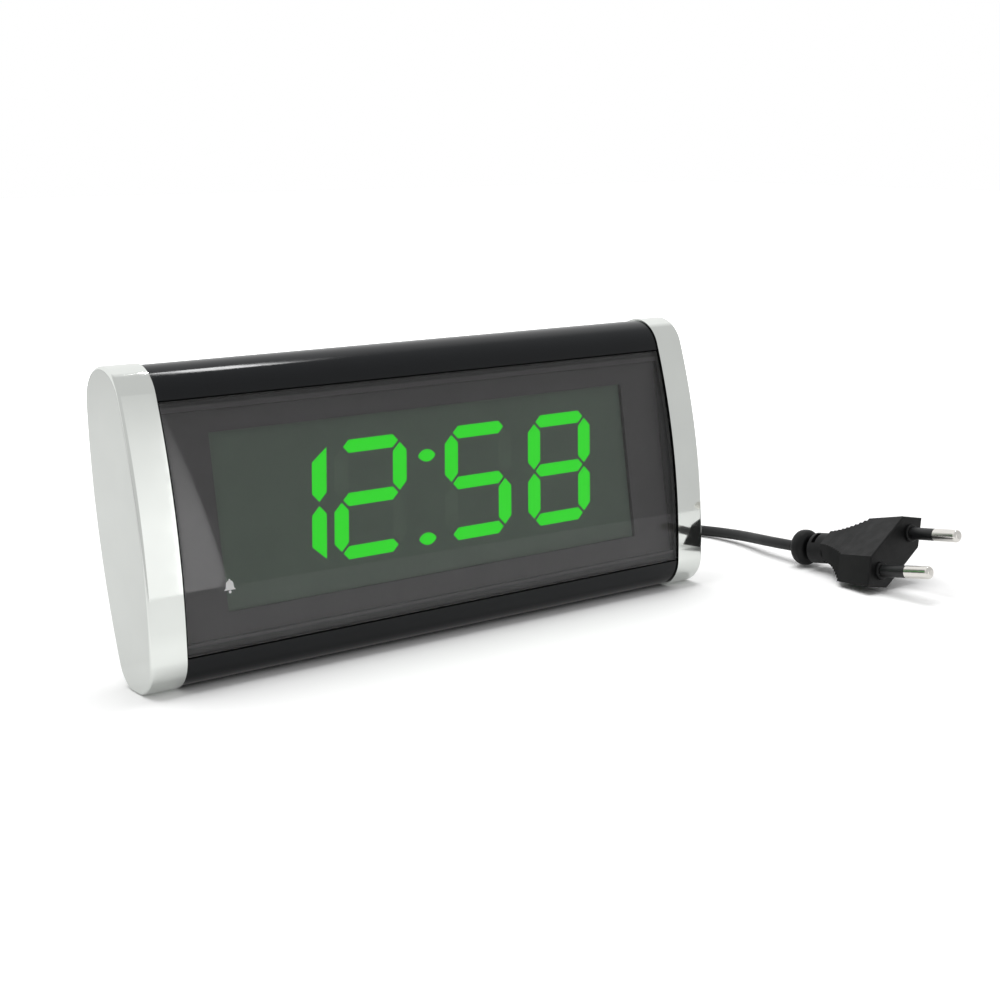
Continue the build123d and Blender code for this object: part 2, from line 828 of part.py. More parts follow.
def level_bar(middle, height):
    """Pointed bar across a digit."""
    tip = digit_width / 2 - segment_gap / sqrt(2)
    half = level_stroke / 2
    points = [
        (middle - tip, height), (middle - tip + half, height + half),
        (middle + tip - half, height + half), (middle + tip, height),
        (middle + tip - half, height - half), (middle - tip + half, height - half),
    ]
    return sheared(points)


def upright_bar(place, low, high):
    """Pointed bar up one side of a digit."""
    foot = low + segment_gap / sqrt(2)
    head = high - segment_gap / sqrt(2)
    half = upright_stroke / 2
    points = [
        (place, foot), (place + half, foot + half), (place + half, head - half),
        (place, head), (place - half, head - half), (place - half, foot + half),
    ]
    return sheared(points)


def digit_bars(middle, names):
    """The named bars of one seven-segment digit."""
    side = digit_width / 2
    top = digit_height / 2
    bars = {
        "a": level_bar(middle, top),
        "g": level_bar(middle, 0),
        "d": level_bar(middle, -top),
        "b": upright_bar(middle + side, 0, top),
        "c": upright_bar(middle + side, -top, 0),
        "f": upright_bar(middle - side, 0, top),
        "e": upright_bar(middle - side, -top, 0),
    }
    return [bars[name] for name in names]


def one_bars():
    """The two bars of the leading one, with slanting outer ends."""
    half = upright_stroke / 2
    tip = segment_gap / sqrt(2)
    end = digit_height / 2 + one_overshoot
    upper = [
        (one_centre, tip), (one_centre + half, tip + half), (one_centre + half, end),
        (one_centre - half, end - one_mitre), (one_centre - half, tip + half),
    ]
    lower = [
        (one_centre, -tip), (one_centre - half, -tip - half), (one_centre - half, one_mitre - end),
        (one_centre + half, -end), (one_centre + half, -tip - half),
    ]
    return [sheared(upper), sheared(lower)]


def bar_sketch(bars, with_colon):
    """Outline of a set of bars, and of the colon's two leaf-shaped dots if wanted."""
    with BuildSketch() as drawn:
        for bar in bars:
            Polygon(*bar, align=None)
        if with_colon:
            for x, y in colon_places:
                with BuildLine():
                    ThreePointArc((x - colon_width / 2, y), (x, y + colon_height / 2), (x + colon_width / 2, y))
                    ThreePointArc((x + colon_width / 2, y), (x, y - colon_height / 2), (x - colon_width / 2, y))
                make_face()
    return drawn.sketch


lit_bars = one_bars()
unlit_bars = []
for middle, lit in zip(digit_centres, lit_by_digit):
    lit_bars += digit_bars(middle, lit)
    unlit_bars += digit_bars(middle, [name for name in "abcdefg" if name not in lit])

# Display block: moulded digit carrier with a well for each bar
with BuildPart() as display_block:
    with BuildSketch(display_plane.offset(-block_face_depth)):
        with Locations((0, window_rise)):
            Rectangle(window_width + 2 * block_lap, window_height + 2 * block_lap)
    extrude(amount=-block_depth)
    with BuildSketch(display_plane.offset(-block_face_depth)):
        add(bar_sketch(lit_bars + unlit_bars, True))
    extrude(amount=-segment_depth, mode=Mode.SUBTRACT)
save(display_block, "display_block")

# Light bars that are on
with BuildPart() as lit_segments:
    with BuildSketch(display_plane.offset(-block_face_depth)):
        add(bar_sketch(lit_bars, True))
    extrude(amount=-segment_depth)
save(lit_segments, "lit_segments")

# Light bars that are off
with BuildPart() as unlit_segments:
    with BuildSketch(display_plane.offset(-block_face_depth)):
        add(bar_sketch(unlit_bars, False))
    extrude(amount=-segment_depth)
save(unlit_segments, "unlit_segments")

# Main board, screwed to the mask's posts behind the display block
post_places = [(side * post_x, height) for side in (-1, 1) for height in post_heights]
with BuildPart() as main_board:
    with BuildSketch(display_plane.offset(-board_depth)):
        with Locations((0, (board_foot + board_top) / 2)):
            Rectangle(2 * board_half_width, board_top - board_foot)
        with Locations(*post_places):
            Circle(board_screw_radius + screw_fit, mode=Mode.SUBTRACT)
    extrude(amount=-board_thickness)
save(main_board, "main_board")

# Board screws
with BuildPart() as board_screws:
    with BuildSketch(display_plane.offset(-board_back)):
        with Locations(*post_places):
            Circle(board_screw_radius)
    extrude(amount=board_thickness + board_screw_grip - screw_fit)
    with BuildSketch(display_plane.offset(-board_back)):
        with Locations(*post_places):
            Circle(board_screw_head_radius)
    extrude(amount=-board_screw_head_height)
save(board_screws, "board_screws")

# Clock chip: dual in-line body on bent legs
with BuildPart() as clock_chip:
    with BuildSketch(display_plane.offset(-board_back - chip_lift)):
        with Locations(chip_place):
            Rectangle(chip_length, chip_width)
    extrude(amount=-chip_height)
    with BuildSketch(display_plane.offset(-board_back)):
        with Locations(chip_place):
            with GridLocations(chip_leg_pitch, chip_leg_spread, chip_leg_pairs, 2):
                Rectangle(chip_leg_width, chip_leg_width)
    extrude(amount=-chip_lift - chip_height / 2)
    with BuildSketch(display_plane.offset(-board_back - chip_lift - chip_height / 2)):
        with Locations(chip_place):
            with GridLocations(chip_leg_pitch, 0, chip_leg_pairs, 1):
                Rectangle(chip_leg_width, chip_leg_spread + chip_leg_width)
    extrude(amount=chip_leg_width)
save(clock_chip, "clock_chip")

# Set switches under the four buttons
with BuildPart() as set_switches:
    places = [(place, button_height_on_plane) for place in button_places]
    with BuildSketch(display_plane.offset(-board_back)):
        with Locations(*places):
            Rectangle(switch_side, switch_side)
    extrude(amount=-switch_height)
    with BuildSketch(display_plane.offset(-board_back - switch_height)):
        with Locations(*places):
            Circle(plunger_radius)
    extrude(amount=-plunger_height)
save(set_switches, "set_switches")

# Alarm slide switch on the board
with BuildPart() as alarm_switch:
    with BuildSketch(display_plane.offset(-board_back)):
        with Locations((slider_x, button_height_on_plane)):
            Rectangle(slide_switch_length, slide_switch_height)
    extrude(amount=-slide_switch_depth)
save(alarm_switch, "alarm_switch")

# Buzzer can with its sound port
with BuildPart() as buzzer:
    with BuildSketch(display_plane.offset(-board_back)):
        with Locations(buzzer_place):
            Circle(buzzer_radius)
    extrude(amount=-buzzer_height)
    with BuildSketch(display_plane.offset(-board_back - buzzer_height)):
        with Locations(buzzer_place):
            Circle(buzzer_port_radius)
    extrude(amount=buzzer_height / 2, mode=Mode.SUBTRACT)
save(buzzer, "buzzer")

# Smoothing capacitor, lying on the board
with BuildPart() as smoothing_capacitor:
    axis_place = display_plane.from_local_coords(
        (capacitor_place[0], capacitor_place[1], -board_back - capacitor_radius)
    )
    with BuildSketch(Plane(origin=axis_place, z_dir=(1, 0, 0))):
        Circle(capacitor_radius)
    extrude(amount=capacitor_length)
    chamfer(smoothing_capacitor.edges().filter_by(GeomType.CIRCLE), capacitor_rim)
save(smoothing_capacitor, "smoothing_capacitor")

# Transformer: laminated core round a bobbin and its winding
with BuildPart() as transformer_core:
    with BuildSketch(Plane.XZ.offset(-core_y - core_stack / 2)):
        with Locations((core_x, core_middle)):
            Rectangle(core_width, core_height)
            window = (core_width - core_centre_leg) / 2 - core_leg
            with GridLocations(core_centre_leg + window, 0, 2, 1):
                Rectangle(window, core_height - 2 * core_leg, mode=Mode.SUBTRACT)
    extrude(amount=core_stack)
save(transformer_core, "transformer_core")

bobbin_foot = core_foot + core_leg + bobbin_fit
bobbin_height = core_height - 2 * core_leg - 2 * bobbin_fit
with BuildPart() as transformer_bobbin:
    with BuildSketch(Plane.XY.offset(bobbin_foot)):
        with Locations((core_x, core_y)):
            Rectangle(core_centre_leg + 2 * bobbin_sleeve, core_stack + 2 * bobbin_sleeve)
    extrude(amount=bobbin_height)
    with BuildSketch(Plane.XY.offset(bobbin_foot), Plane.XY.offset(bobbin_foot + bobbin_height - bobbin_wall)):
        with Locations((core_x, core_y)):
            Rectangle(core_centre_leg + 2 * bobbin_reach, core_stack + 2 * bobbin_reach)
    extrude(amount=bobbin_wall)
    with BuildSketch(Plane.XY.offset(bobbin_foot)):
        with Locations((core_x, core_y)):
            Rectangle(core_centre_leg + 2 * bobbin_fit, core_stack + 2 * bobbin_fit)
    extrude(amount=bobbin_height, mode=Mode.SUBTRACT)
save(transformer_bobbin, "transformer_bobbin")

with BuildPart() as transformer_winding:
    with BuildSketch(Plane.XY.offset(bobbin_foot + bobbin_wall)):
        with Locations((core_x, core_y)):
            RectangleRounded(
                core_centre_leg + 2 * (bobbin_sleeve + winding_swell),
                core_stack + 2 * (bobbin_sleeve + winding_swell),
                winding_corner,
            )
            Rectangle(
                core_centre_leg + 2 * bobbin_sleeve, core_stack + 2 * bobbin_sleeve, mode=Mode.SUBTRACT
            )
    extrude(amount=bobbin_height - 2 * bobbin_wall)
save(transformer_winding, "transformer_winding")

# Snooze switch on its shelf under the top
with BuildPart() as snooze_switch:
    with BuildSketch(snooze_plane.offset(-shelf_depth)):
        Rectangle(switch_side, switch_side)
    extrude(amount=switch_height)
    with BuildSketch(snooze_plane.offset(switch_height - shelf_depth)):
        Circle(plunger_radius)
    extrude(amount=plunger_height)
save(snooze_switch, "snooze_switch")

# Snooze bar: long key that follows the crown's rounding, with a flange and a stem inside
with BuildPart() as snooze_bar:
    with BuildSketch(snooze_plane.offset(snooze_flange_top - snooze_flange)):
        RectangleRounded(snooze_length, 2 * snooze_half_width, snooze_corner)
    extrude(amount=crown_radius)
    with BuildSketch(Plane.YZ.offset(-snooze_length)):
        with Locations(crown_centre):
            Circle(crown_skin + snooze_proud)
    extrude(amount=2 * snooze_length, mode=Mode.INTERSECT)
    top_edges = snooze_bar.faces().filter_by(GeomType.CYLINDER).sort_by(SortBy.AREA)[-1].edges()
    fillet(top_edges, snooze_edge)
    with BuildSketch(snooze_plane.offset(snooze_flange_top)):
        Rectangle(snooze_length + 2 * snooze_flange_lap, 2 * snooze_flange_half)
    extrude(amount=-snooze_flange)
    with BuildSketch(snooze_plane.offset(snooze_flange_top - snooze_flange)):
        Circle(snooze_stem_radius)
    extrude(
        amount=snooze_switch_top + snooze_travel + press_gap - snooze_flange_top + snooze_flange
    )
save(snooze_bar, "snooze_bar")

# Set buttons: round caps through the back, each with a flange and a stem to its switch
for place, button_name in zip(button_places, button_names):
    with BuildPart() as set_button:
        with BuildSketch(display_plane.offset(-flange_top_depth)):
            with Locations((place, button_height_on_plane)):
                Circle(button_radius)
        extrude(amount=flange_top_depth - control_skin - button_proud)
        crown = set_button.faces().sort_by(Axis.Y)[-1]
        fillet(crown.edges(), button_edge)
        with BuildSketch(display_plane.offset(-flange_top_depth)):
            with Locations((place, button_height_on_plane)):
                Circle(flange_radius)
        extrude(amount=button_flange)
        with BuildSketch(display_plane.offset(button_flange - flange_top_depth)):
            with Locations((place, button_height_on_plane)):
                Circle(button_stem_radius)
        extrude(
            amount=flange_top_depth - button_flange - plunger_depth - button_travel - press_gap
        )
    save(set_button, button_name)

# Alarm slide knob: ridged knob through the slot, with a covering plate and a driving pin inside
slider_rest = slider_x - slider_travel / 2
slider_pin_end = board_back + slide_switch_depth + press_gap
with BuildPart() as alarm_slider:
    with BuildSketch(display_plane.offset(-slider_top_depth)):
        with Locations((slider_rest, button_height_on_plane)):
            Rectangle(slider_knob_length, slider_knob_height)
    extrude(amount=slider_top_depth - control_skin - slider_proud)
    with BuildSketch(display_plane.offset(-control_skin - slider_proud)):
        with Locations((slider_rest, button_height_on_plane)):
            with GridLocations(2 * slider_ridge, 0, slider_ridge_count, 1):
                Rectangle(slider_ridge, slider_knob_height)
    extrude(amount=slider_ridge, mode=Mode.SUBTRACT)
    with BuildSketch(display_plane.offset(-slider_top_depth)):
        with Locations((slider_rest, button_height_on_plane)):
            Rectangle(2 * slider_plate_half, slider_plate_height)
    extrude(amount=slider_plate)
    with BuildSketch(display_plane.offset(slider_plate - slider_top_depth)):
        with Locations((slider_rest, button_height_on_plane)):
            Circle(slider_pin_radius)
    extrude(amount=slider_top_depth - slider_plate - slider_pin_end)
save(alarm_slider, "alarm_slider")

# Backup battery: nine-volt block with two snap terminals on its left end
terminal_plane = Plane(
    origin=(battery_left, (battery_front + battery_back) / 2, battery_middle),
    x_dir=(0, 0, 1),
    z_dir=(-1, 0, 0),
)
terminal_places = [(-snap_spacing / 2, 0), (snap_spacing / 2, 0)]
with BuildPart() as backup_battery:
    with BuildSketch(terminal_plane):
        RectangleRounded(battery_height, battery_thickness, battery_edge)
    extrude(amount=-battery_length)
    with BuildSketch(terminal_plane):
        for terminal, radius in zip(terminal_places, snap_radii):
            with Locations(terminal):
                Circle(radius)
    extrude(amount=snap_height)
save(backup_battery, "backup_battery")

# Snap connector on the battery's terminals
with BuildPart() as battery_snap:
    with BuildSketch(terminal_plane.offset(snap_height)):
        RectangleRounded(battery_height - 2 * battery_edge, battery_thickness - 2 * battery_edge, battery_edge)
    extrude(amount=snap_plate)
    with BuildSketch(terminal_plane.offset(snap_height)):
        for terminal, radius in zip(terminal_places, snap_radii):
            with Locations(terminal):
                Circle(radius + snap_fit + snap_ring)
                Circle(radius + snap_fit, mode=Mode.SUBTRACT)
    extrude(amount=-snap_height + snap_fit)
save(battery_snap, "battery_snap")

# Battery door: slides out to the right, its tongues run in the bay's grooves
with BuildPart() as battery_door:
    middle, size = block(
        (bay_left + door_fit, housing_half),
        (groove_shallow - door_face_gap, half_depth),
        (bay_foot + door_fit, bay_top - door_fit),
    )
    with Locations(middle):
        Box(*size)
    middle, size = block(
        (bay_left + door_fit, housing_half),
        (groove_deep + door_face_gap, groove_shallow - door_face_gap),
        (groove_foot + door_fit, groove_top - door_fit),
    )
    with Locations(middle):
        Box(*size)
    add(housing.part, mode=Mode.INTERSECT)
    with BuildSketch(Plane.XZ.offset(-half_depth)):
        with Locations((housing_half - door_grip_inset, battery_middle)):
            with GridLocations(door_grip_pitch, 0, door_grip_count, 1):
                SlotOverall(door_grip_length, door_grip_width, rotation=90)
    extrude(amount=door_grip_depth, mode=Mode.SUBTRACT)
save(battery_door, "battery_door")

# Cord gland: flanged neck in the housing's wall and a ribbed, tapered boot
gland_plane = Plane(
    origin=(gland_x, half_depth, gland_height), x_dir=(0, 1, 0), z_dir=(1, 0, 0)
)
boot_start = gland_flange
boot_end = gland_flange + boot_length


def boot_radius(along):
    """Radius of the tapered boot at a distance from the housing."""
    share = (along - boot_start) / boot_length
    return boot_root_radius + share * (boot_tip_radius - boot_root_radius)


gland_profile = [
    (-housing_wall - gland_flange, 0),
    (-housing_wall - gland_flange, gland_flange_radius),
    (-housing_wall, gland_flange_radius),
    (-housing_wall, gland_neck_radius),
    (0, gland_neck_radius),
    (0, gland_flange_radius),
    (boot_start, gland_flange_radius),
]
rib_pitch = boot_length / (2 * boot_rib_count + 1)
for rib in range(boot_rib_count):
    ridge = boot_start + 2 * rib * rib_pitch
    groove = ridge + rib_pitch
    gland_profile += [
        (ridge, boot_radius(ridge)),
        (groove, boot_radius(groove)),
        (groove, boot_radius(groove) - boot_rib_depth),
        (groove + rib_pitch, boot_radius(groove + rib_pitch) - boot_rib_depth),
    ]
gland_profile += [
    (boot_end - rib_pitch, boot_radius(boot_end - rib_pitch)),
    (boot_end, boot_tip_radius),
    (boot_end, 0),
]
with BuildPart() as cord_gland:
    with BuildSketch(gland_plane):
        Polygon(*gland_profile, align=None)
    revolve(axis=Axis((gland_x, half_depth, gland_height), (0, 1, 0)))
save(cord_gland, "cord_gland")

# Plug places: z points out of the face along the pins, x runs across them
plug_out = Vector(
    sin(radians(plug_heading)) * cos(radians(plug_pitch)),
    -cos(radians(plug_heading)) * cos(radians(plug_pitch)),
    sin(radians(plug_pitch)),
)
plug_level = Vector(cos(radians(plug_heading)), sin(radians(plug_heading)), 0)
plug_across = plug_level * cos(radians(plug_roll)) + plug_out.cross(plug_level) * sin(radians(plug_roll))
plug_plane = Plane(origin=plug_face_place, x_dir=plug_across, z_dir=plug_out)
plug_length = plug_prism + plug_taper + plug_neck + plug_waist + plug_bead_length
plug_tail = Vector(*plug_face_place) - plug_out * plug_length

# The cord's route: out of the boot, down behind the clock, round the coil and away to the plug
coil_low = cord_diameter / 2 + tie_thickness + coil_lift
coil_high = coil_low + coil_layer_rise
lead_route = [
    Vector(gland_x, half_depth + boot_end, gland_height),
    Vector(gland_x, 57.5, gland_height),
    Vector(-6.0, 69.0, 5.6),
    Vector(6.9, coil_near_y, coil_low),
    Vector(coil_x, coil_near_y, coil_low),
]
tail_route = [
    Vector(coil_x, coil_near_y, coil_high),
    Vector(36.0, coil_near_y, coil_high),
    Vector(58.0, 73.5, 3.5),
    Vector(84.0, 70.0, 1.9),
    Vector(110.0, 61.0, 1.9),
    Vector(130.0, 45.5, 1.9),
    Vector(143.0, 24.7, 1.9),
    Vector(144.5, 6.5, 2.8),
    plug_tail - plug_out * plug_approach,
    plug_tail,
]


def bend_radii(route):
    """Largest arc that the two runs at each inner point of a route allow."""
    radii = []
    for before, point, after in zip(route, route[1:], route[2:]):
        turn = radians((point - before).get_angle(after - point))
        shorter = min((point - before).length, (after - point).length)
        radii.append(bend_run_share * shorter / tan(turn / 2))
    return radii


def report_tube(name, tube, path):
    """Print a tube's length and how its volume compares with section times length."""
    expected = pi * cord_diameter**2 / 4 * path.length
    print(f"{name}: length {path.length:.1f} mm, volume / (section x length) {tube.volume / expected:.4f}")


for cord_name, route in (("cord_lead", lead_route), ("cord_tail", tail_route)):
    radii = bend_radii(route)
    print(cord_name, "bend radii", [round(radius, 1) for radius in radii])
    with BuildPart() as cord_stretch:
        with BuildLine() as stretch_path:
            FilletPolyline(*route, radius=radii)
        stretch_wire = stretch_path.wires()[0]
        with BuildSketch(Plane(origin=route[0], z_dir=route[1] - route[0])):
            Circle(cord_diameter / 2)
        sweep(path=stretch_wire)
    report_tube(cord_name, cord_stretch.part, stretch_wire)
    save(cord_stretch, cord_name)

# Coil: half turns that wind inwards on the table, climb once and wind outwards on top
coil_steps = []
near = coil_near_y
far = coil_near_y + 2 * coil_outer_radius
for half_turn in range(coil_half_turns):
    radius = coil_outer_radius - half_turn * coil_pitch / 2
    start_y = near if half_turn % 2 == 0 else far
    end_y = start_y + (2 * radius if half_turn % 2 == 0 else -2 * radius)
    near, far = (near, end_y) if half_turn % 2 == 0 else (end_y, far)
    coil_steps.append((start_y, end_y, coil_low, coil_low))
climb_radius = coil_outer_radius - coil_half_turns * coil_pitch / 2
coil_steps.append((near, near + 2 * climb_radius, coil_low, coil_high))
here = near + 2 * climb_radius
for half_turn in range(coil_half_turns - 1):
    radius = climb_radius + (half_turn + 1) * coil_pitch / 2
    there = here - 2 * radius if half_turn % 2 == 0 else here + 2 * radius
    coil_steps.append((here, there, coil_high, coil_high))
    here = there

with BuildPart() as cord_coil:
    with BuildLine() as coil_path:
        for start_y, end_y, start_z, end_z in coil_steps:
            start = Vector(coil_x, start_y, start_z)
            end = Vector(coil_x, end_y, end_z)
            bulge = (end - start).length / 2 if end_y > start_y else (start - end).length / -2
            middle = (start + end) / 2 + Vector(bulge, 0, 0)
            ThreePointArc(start, middle, end)
    coil_wire = coil_path.wires()[0]
    with BuildSketch(Plane(origin=lead_route[-1], z_dir=(1, 0, 0))):
        Circle(cord_diameter / 2)
    sweep(path=coil_wire)
report_tube("cord_coil", cord_coil.part, coil_wire)
coil_count = int(coil_wire.length / (cord_diameter / 2))
coil_points = [coil_wire @ (index / coil_count) for index in range(coil_count + 1)]
coil_apart = 2 * cord_diameter
coil_gap = min(
    (coil_points[first] - coil_points[second]).length
    for first in range(coil_count + 1)
    for second in range(first + 1, coil_count + 1)
    if (second - first) * coil_wire.length / coil_count > coil_apart
)
print(f"cord_coil: least gap to itself {coil_gap - cord_diameter:.2f} mm")
save(cord_coil, "cord_coil")

# Tie round the coil's far side
tie_near = coil_near_y + 2 * coil_outer_radius - (coil_half_turns / 2) * coil_pitch
tie_far = coil_near_y + 2 * coil_outer_radius
tie_middle = (tie_near + tie_far) / 2
tie_inner_width = tie_far - tie_near + cord_diameter + 2 * tie_room
tie_inner_height = coil_layer_rise + cord_diameter + 2 * coil_lift
with BuildPart() as cord_tie:
    with BuildSketch(Plane.YZ.offset(coil_x - tie_width / 2)):
        with Locations((tie_middle, (coil_low + coil_high) / 2)):
            RectangleRounded(
                tie_inner_width + 2 * tie_thickness,
                tie_inner_height + 2 * tie_thickness,
                tie_corner + tie_thickness,
            )
            RectangleRounded(tie_inner_width, tie_inner_height, tie_corner, mode=Mode.SUBTRACT)
    extrude(amount=tie_width)
save(cord_tie, "cord_tie")


def plug_hexagon(half_width, shoulder, half_thickness):
    """Flattened hexagon of the plug's section."""
    with BuildSketch() as section:
        Polygon(
            (half_width, 0), (shoulder, half_thickness), (-shoulder, half_thickness),
            (-half_width, 0), (-shoulder, -half_thickness), (shoulder, -half_thickness),
            align=None,
        )
    return section.sketch


pin_lean = (pin_base_spacing - pin_tip_spacing) / 2 / pin_length
pin_planes = [
    Plane(
        origin=plug_plane.from_local_coords((side * pin_base_spacing / 2, 0, 0)),
        x_dir=plug_across,
        z_dir=plug_out - plug_across * side * pin_lean,
    )
    for side in (-1, 1)
]

# Plug: drafted hexagonal grip, stepped taper, slotted neck, bead and a collar round each pin
with BuildPart() as plug_body:
    with BuildSketch(plug_plane):
        add(plug_hexagon(plug_half_width, plug_shoulder_half, plug_half_thickness))
    with BuildSketch(plug_plane.offset(-plug_prism)):
        add(
            plug_hexagon(
                plug_half_width * plug_draft_share,
                plug_shoulder_half * plug_draft_share,
                plug_half_thickness * plug_draft_share,
            )
        )
    loft()
    fillet(plug_body.faces().sort_by(Axis.Y)[0].edges(), plug_face_edge)
    for step in range(plug_step_count):
        fall = (1 - (step + 1) / (plug_step_count + 1)) ** plug_bow_power
        width = plug_neck_half_width + fall * (plug_half_width * plug_draft_share - plug_neck_half_width)
        thickness = plug_neck_half_thickness + fall * (
            plug_half_thickness * plug_draft_share - plug_neck_half_thickness
        )
        shoulder = width * plug_shoulder_half / plug_half_width
        step_length = plug_taper / plug_step_count
        with BuildSketch(plug_plane.offset(-plug_prism - step * step_length)):
            add(plug_hexagon(width, shoulder, thickness))
        extrude(amount=-step_length)
    with BuildSketch(plug_plane.offset(-plug_prism - plug_taper)):
        Ellipse(plug_neck_half_width, plug_neck_half_thickness)
    extrude(amount=-plug_neck)
    with BuildSketch(plug_plane.offset(-plug_prism - plug_taper - plug_neck + plug_slot_set_in)):
        with Locations((0, plug_neck_half_thickness), (0, -plug_neck_half_thickness)):
            Rectangle(plug_slot_width, 2 * plug_slot_depth)
    extrude(amount=plug_slot_length, mode=Mode.SUBTRACT)
    with BuildSketch(plug_plane.offset(-plug_prism - plug_taper - plug_neck)):
        Circle(plug_waist_radius)
    extrude(amount=-plug_waist)
    with BuildSketch(plug_plane.offset(plug_bead_length - plug_length)):
        Circle(plug_bead_radius)
    extrude(amount=-plug_bead_length)
    bead_rims = plug_body.edges().filter_by(GeomType.CIRCLE).filter_by(
        lambda rim: abs(rim.radius - plug_bead_radius) < pin_fit
    )
    fillet(bead_rims, plug_bead_edge)
    for pin_plane in pin_planes:
        with BuildSketch(pin_plane.offset(-pin_collar_root)):
            Circle(pin_collar_radius)
        extrude(amount=pin_collar_root + pin_collar)
    collar_tops = plug_body.faces().filter_by(GeomType.PLANE).sort_by(Axis(plug_face_place, plug_out))[-2:]
    fillet(collar_tops.edges(), pin_collar_edge)
    for pin_plane in pin_planes:
        with BuildSketch(pin_plane.offset(pin_radius)):
            Circle(pin_sleeve_radius + pin_fit)
        extrude(amount=-pin_root - pin_radius, mode=Mode.SUBTRACT)
save(plug_body, "plug_body")

# Plug pins: turned cores with full-size bare tips
with BuildPart() as plug_pins:
    for pin_plane in pin_planes:
        with BuildSketch(pin_plane.offset(-pin_root)):
            Circle(pin_core_radius)
        extrude(amount=pin_root + pin_sleeve)
        with BuildSketch(pin_plane.offset(pin_sleeve)):
            Circle(pin_radius)
        extrude(amount=pin_length - pin_sleeve)
    pin_tips = plug_pins.faces().filter_by(GeomType.PLANE).sort_by(Axis(plug_face_place, plug_out))[-2:]
    fillet(pin_tips.edges(), pin_tip_radius)
save(plug_pins, "plug_pins")

# Plug pin sleeves
with BuildPart() as plug_sleeves:
    for pin_plane in pin_planes:
        with BuildSketch(pin_plane.offset(-pin_root)):
            Circle(pin_sleeve_radius)
            Circle(pin_core_radius, mode=Mode.SUBTRACT)
        extrude(amount=pin_root + pin_sleeve)
save(plug_sleeves, "plug_sleeves")
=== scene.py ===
"""A mains desk clock with lit digits: finishes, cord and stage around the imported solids."""

import math

import bmesh
import bpy
from bpy.props import FloatProperty, FloatVectorProperty, PointerProperty
from mathutils import Matrix, Vector


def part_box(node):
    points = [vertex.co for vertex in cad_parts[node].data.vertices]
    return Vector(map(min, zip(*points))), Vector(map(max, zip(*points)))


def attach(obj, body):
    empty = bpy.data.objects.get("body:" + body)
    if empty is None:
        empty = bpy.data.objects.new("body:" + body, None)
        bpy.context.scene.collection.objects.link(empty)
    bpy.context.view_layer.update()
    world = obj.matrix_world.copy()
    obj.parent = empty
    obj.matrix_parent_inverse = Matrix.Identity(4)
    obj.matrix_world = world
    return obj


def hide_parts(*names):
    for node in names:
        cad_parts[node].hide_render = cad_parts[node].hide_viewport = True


bl_info = {
    "name": "Lit Digit Desk Clock",
    "version": (1, 0, 0),
    "blender": (4, 5, 0),
    "location": "View3D > Sidebar > Clock",
    "description": "Dresses a leaf-shaped desk clock, its mains cord and its plug",
    "category": "Object",
}

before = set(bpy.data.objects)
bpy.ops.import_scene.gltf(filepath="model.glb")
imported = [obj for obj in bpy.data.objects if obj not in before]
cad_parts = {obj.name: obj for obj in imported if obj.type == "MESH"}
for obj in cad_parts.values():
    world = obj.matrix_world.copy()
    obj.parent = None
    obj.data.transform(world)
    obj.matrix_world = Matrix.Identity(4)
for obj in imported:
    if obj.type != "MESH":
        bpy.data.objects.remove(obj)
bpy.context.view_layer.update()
lens_low, lens_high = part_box("lens")

MM = 0.001
WELD = 0.000002
OUTLINE_WELD = 0.000005
SAME_PLACE = 0.000001
PLANE_SLACK = 0.0000001
FLAT_ANGLE = math.radians(0.35)
COPY_ANGLE = math.radians(32.0)
CAP_ANGLE = math.radians(40.0)
LENS_ANGLE = math.radians(50.0)
LENS_CORNER = 0.8
WHITE = (1.0, 1.0, 1.0, 1.0)
INK_THICKNESS = 0.00005
PLUG_EDGE = 0.00025
# Span that most of a noise texture's values lie in.
NOISE_LOW = 0.3
NOISE_HIGH = 0.7
# Steps along a bow, round the foot or crown, and along the lens.
BOW_STEPS = 28
ROUNDING_STEPS = 44
LENS_STEPS = 40
# How far from the seat's radius a ledge face may lie, and how squarely it has to face out.
SEAT_SLACK = 0.0003
SEAT_FACING = 0.8
# A lens face that looks less straight out than this is a cut edge.
LENS_FACING = 0.98
# A mask face that looks less straight out than this, inside these shares of the mask's
# half width and half height, is the cut edge of its window, coloured dark as painted shade.
MASK_FACING = 0.4
MASK_WIDTH = 0.98
MASK_HEIGHT = 0.95
# Control points on a half turn of the coil, half turns in the lower layer, and both heights.
COIL_STEPS = 6
COIL_HALF_TURNS = 6
COIL_LOW = 0.0029
COIL_HIGH = 0.0070
# Control points of the cord before and after its coil, in millimetres.
CORD_LEAD = (
    (-12.0, 45.5, 9.0),
    (-12.0, 57.5, 9.0),
    (-6.0, 69.0, 5.6),
    (6.9, 75.1, 2.9),
)
CORD_TAIL = (
    (36.0, 75.1, 7.0),
    (58.0, 73.5, 3.5),
    (84.0, 70.0, 1.9),
    (110.0, 61.0, 1.9),
    (130.0, 45.5, 1.9),
    (143.0, 24.7, 1.9),
    (144.5, 6.5, 3.2),
    (139.54, -12.98, 5.2),
    (140.0, -24.84, 5.78),
)
TABLE_HALF = 3.0
CARD_SIZE = (0.42, 0.95, 1.0)
CARD_PLACE = (0.225, -0.9, 0.345)
# Light of the card: beside its bright strip, on it, and past it.
CARD_NEAR = 1.15
CARD_STRIP = 2.75
CARD_PAST = 0.66
# The strip's edges, as the lens mirrors them: depth of their turning point below the table,
# bend, slant of the far edge, and the spans across which the light changes.
STRIP_DROP = 0.03
STRIP_BEND = -0.183
STRIP_SLANT = 0.066
STRIP_START = (0.3412, 0.3432)
STRIP_END = (0.3755, 0.3780)
CARD_FADE = (0.15, 0.65)
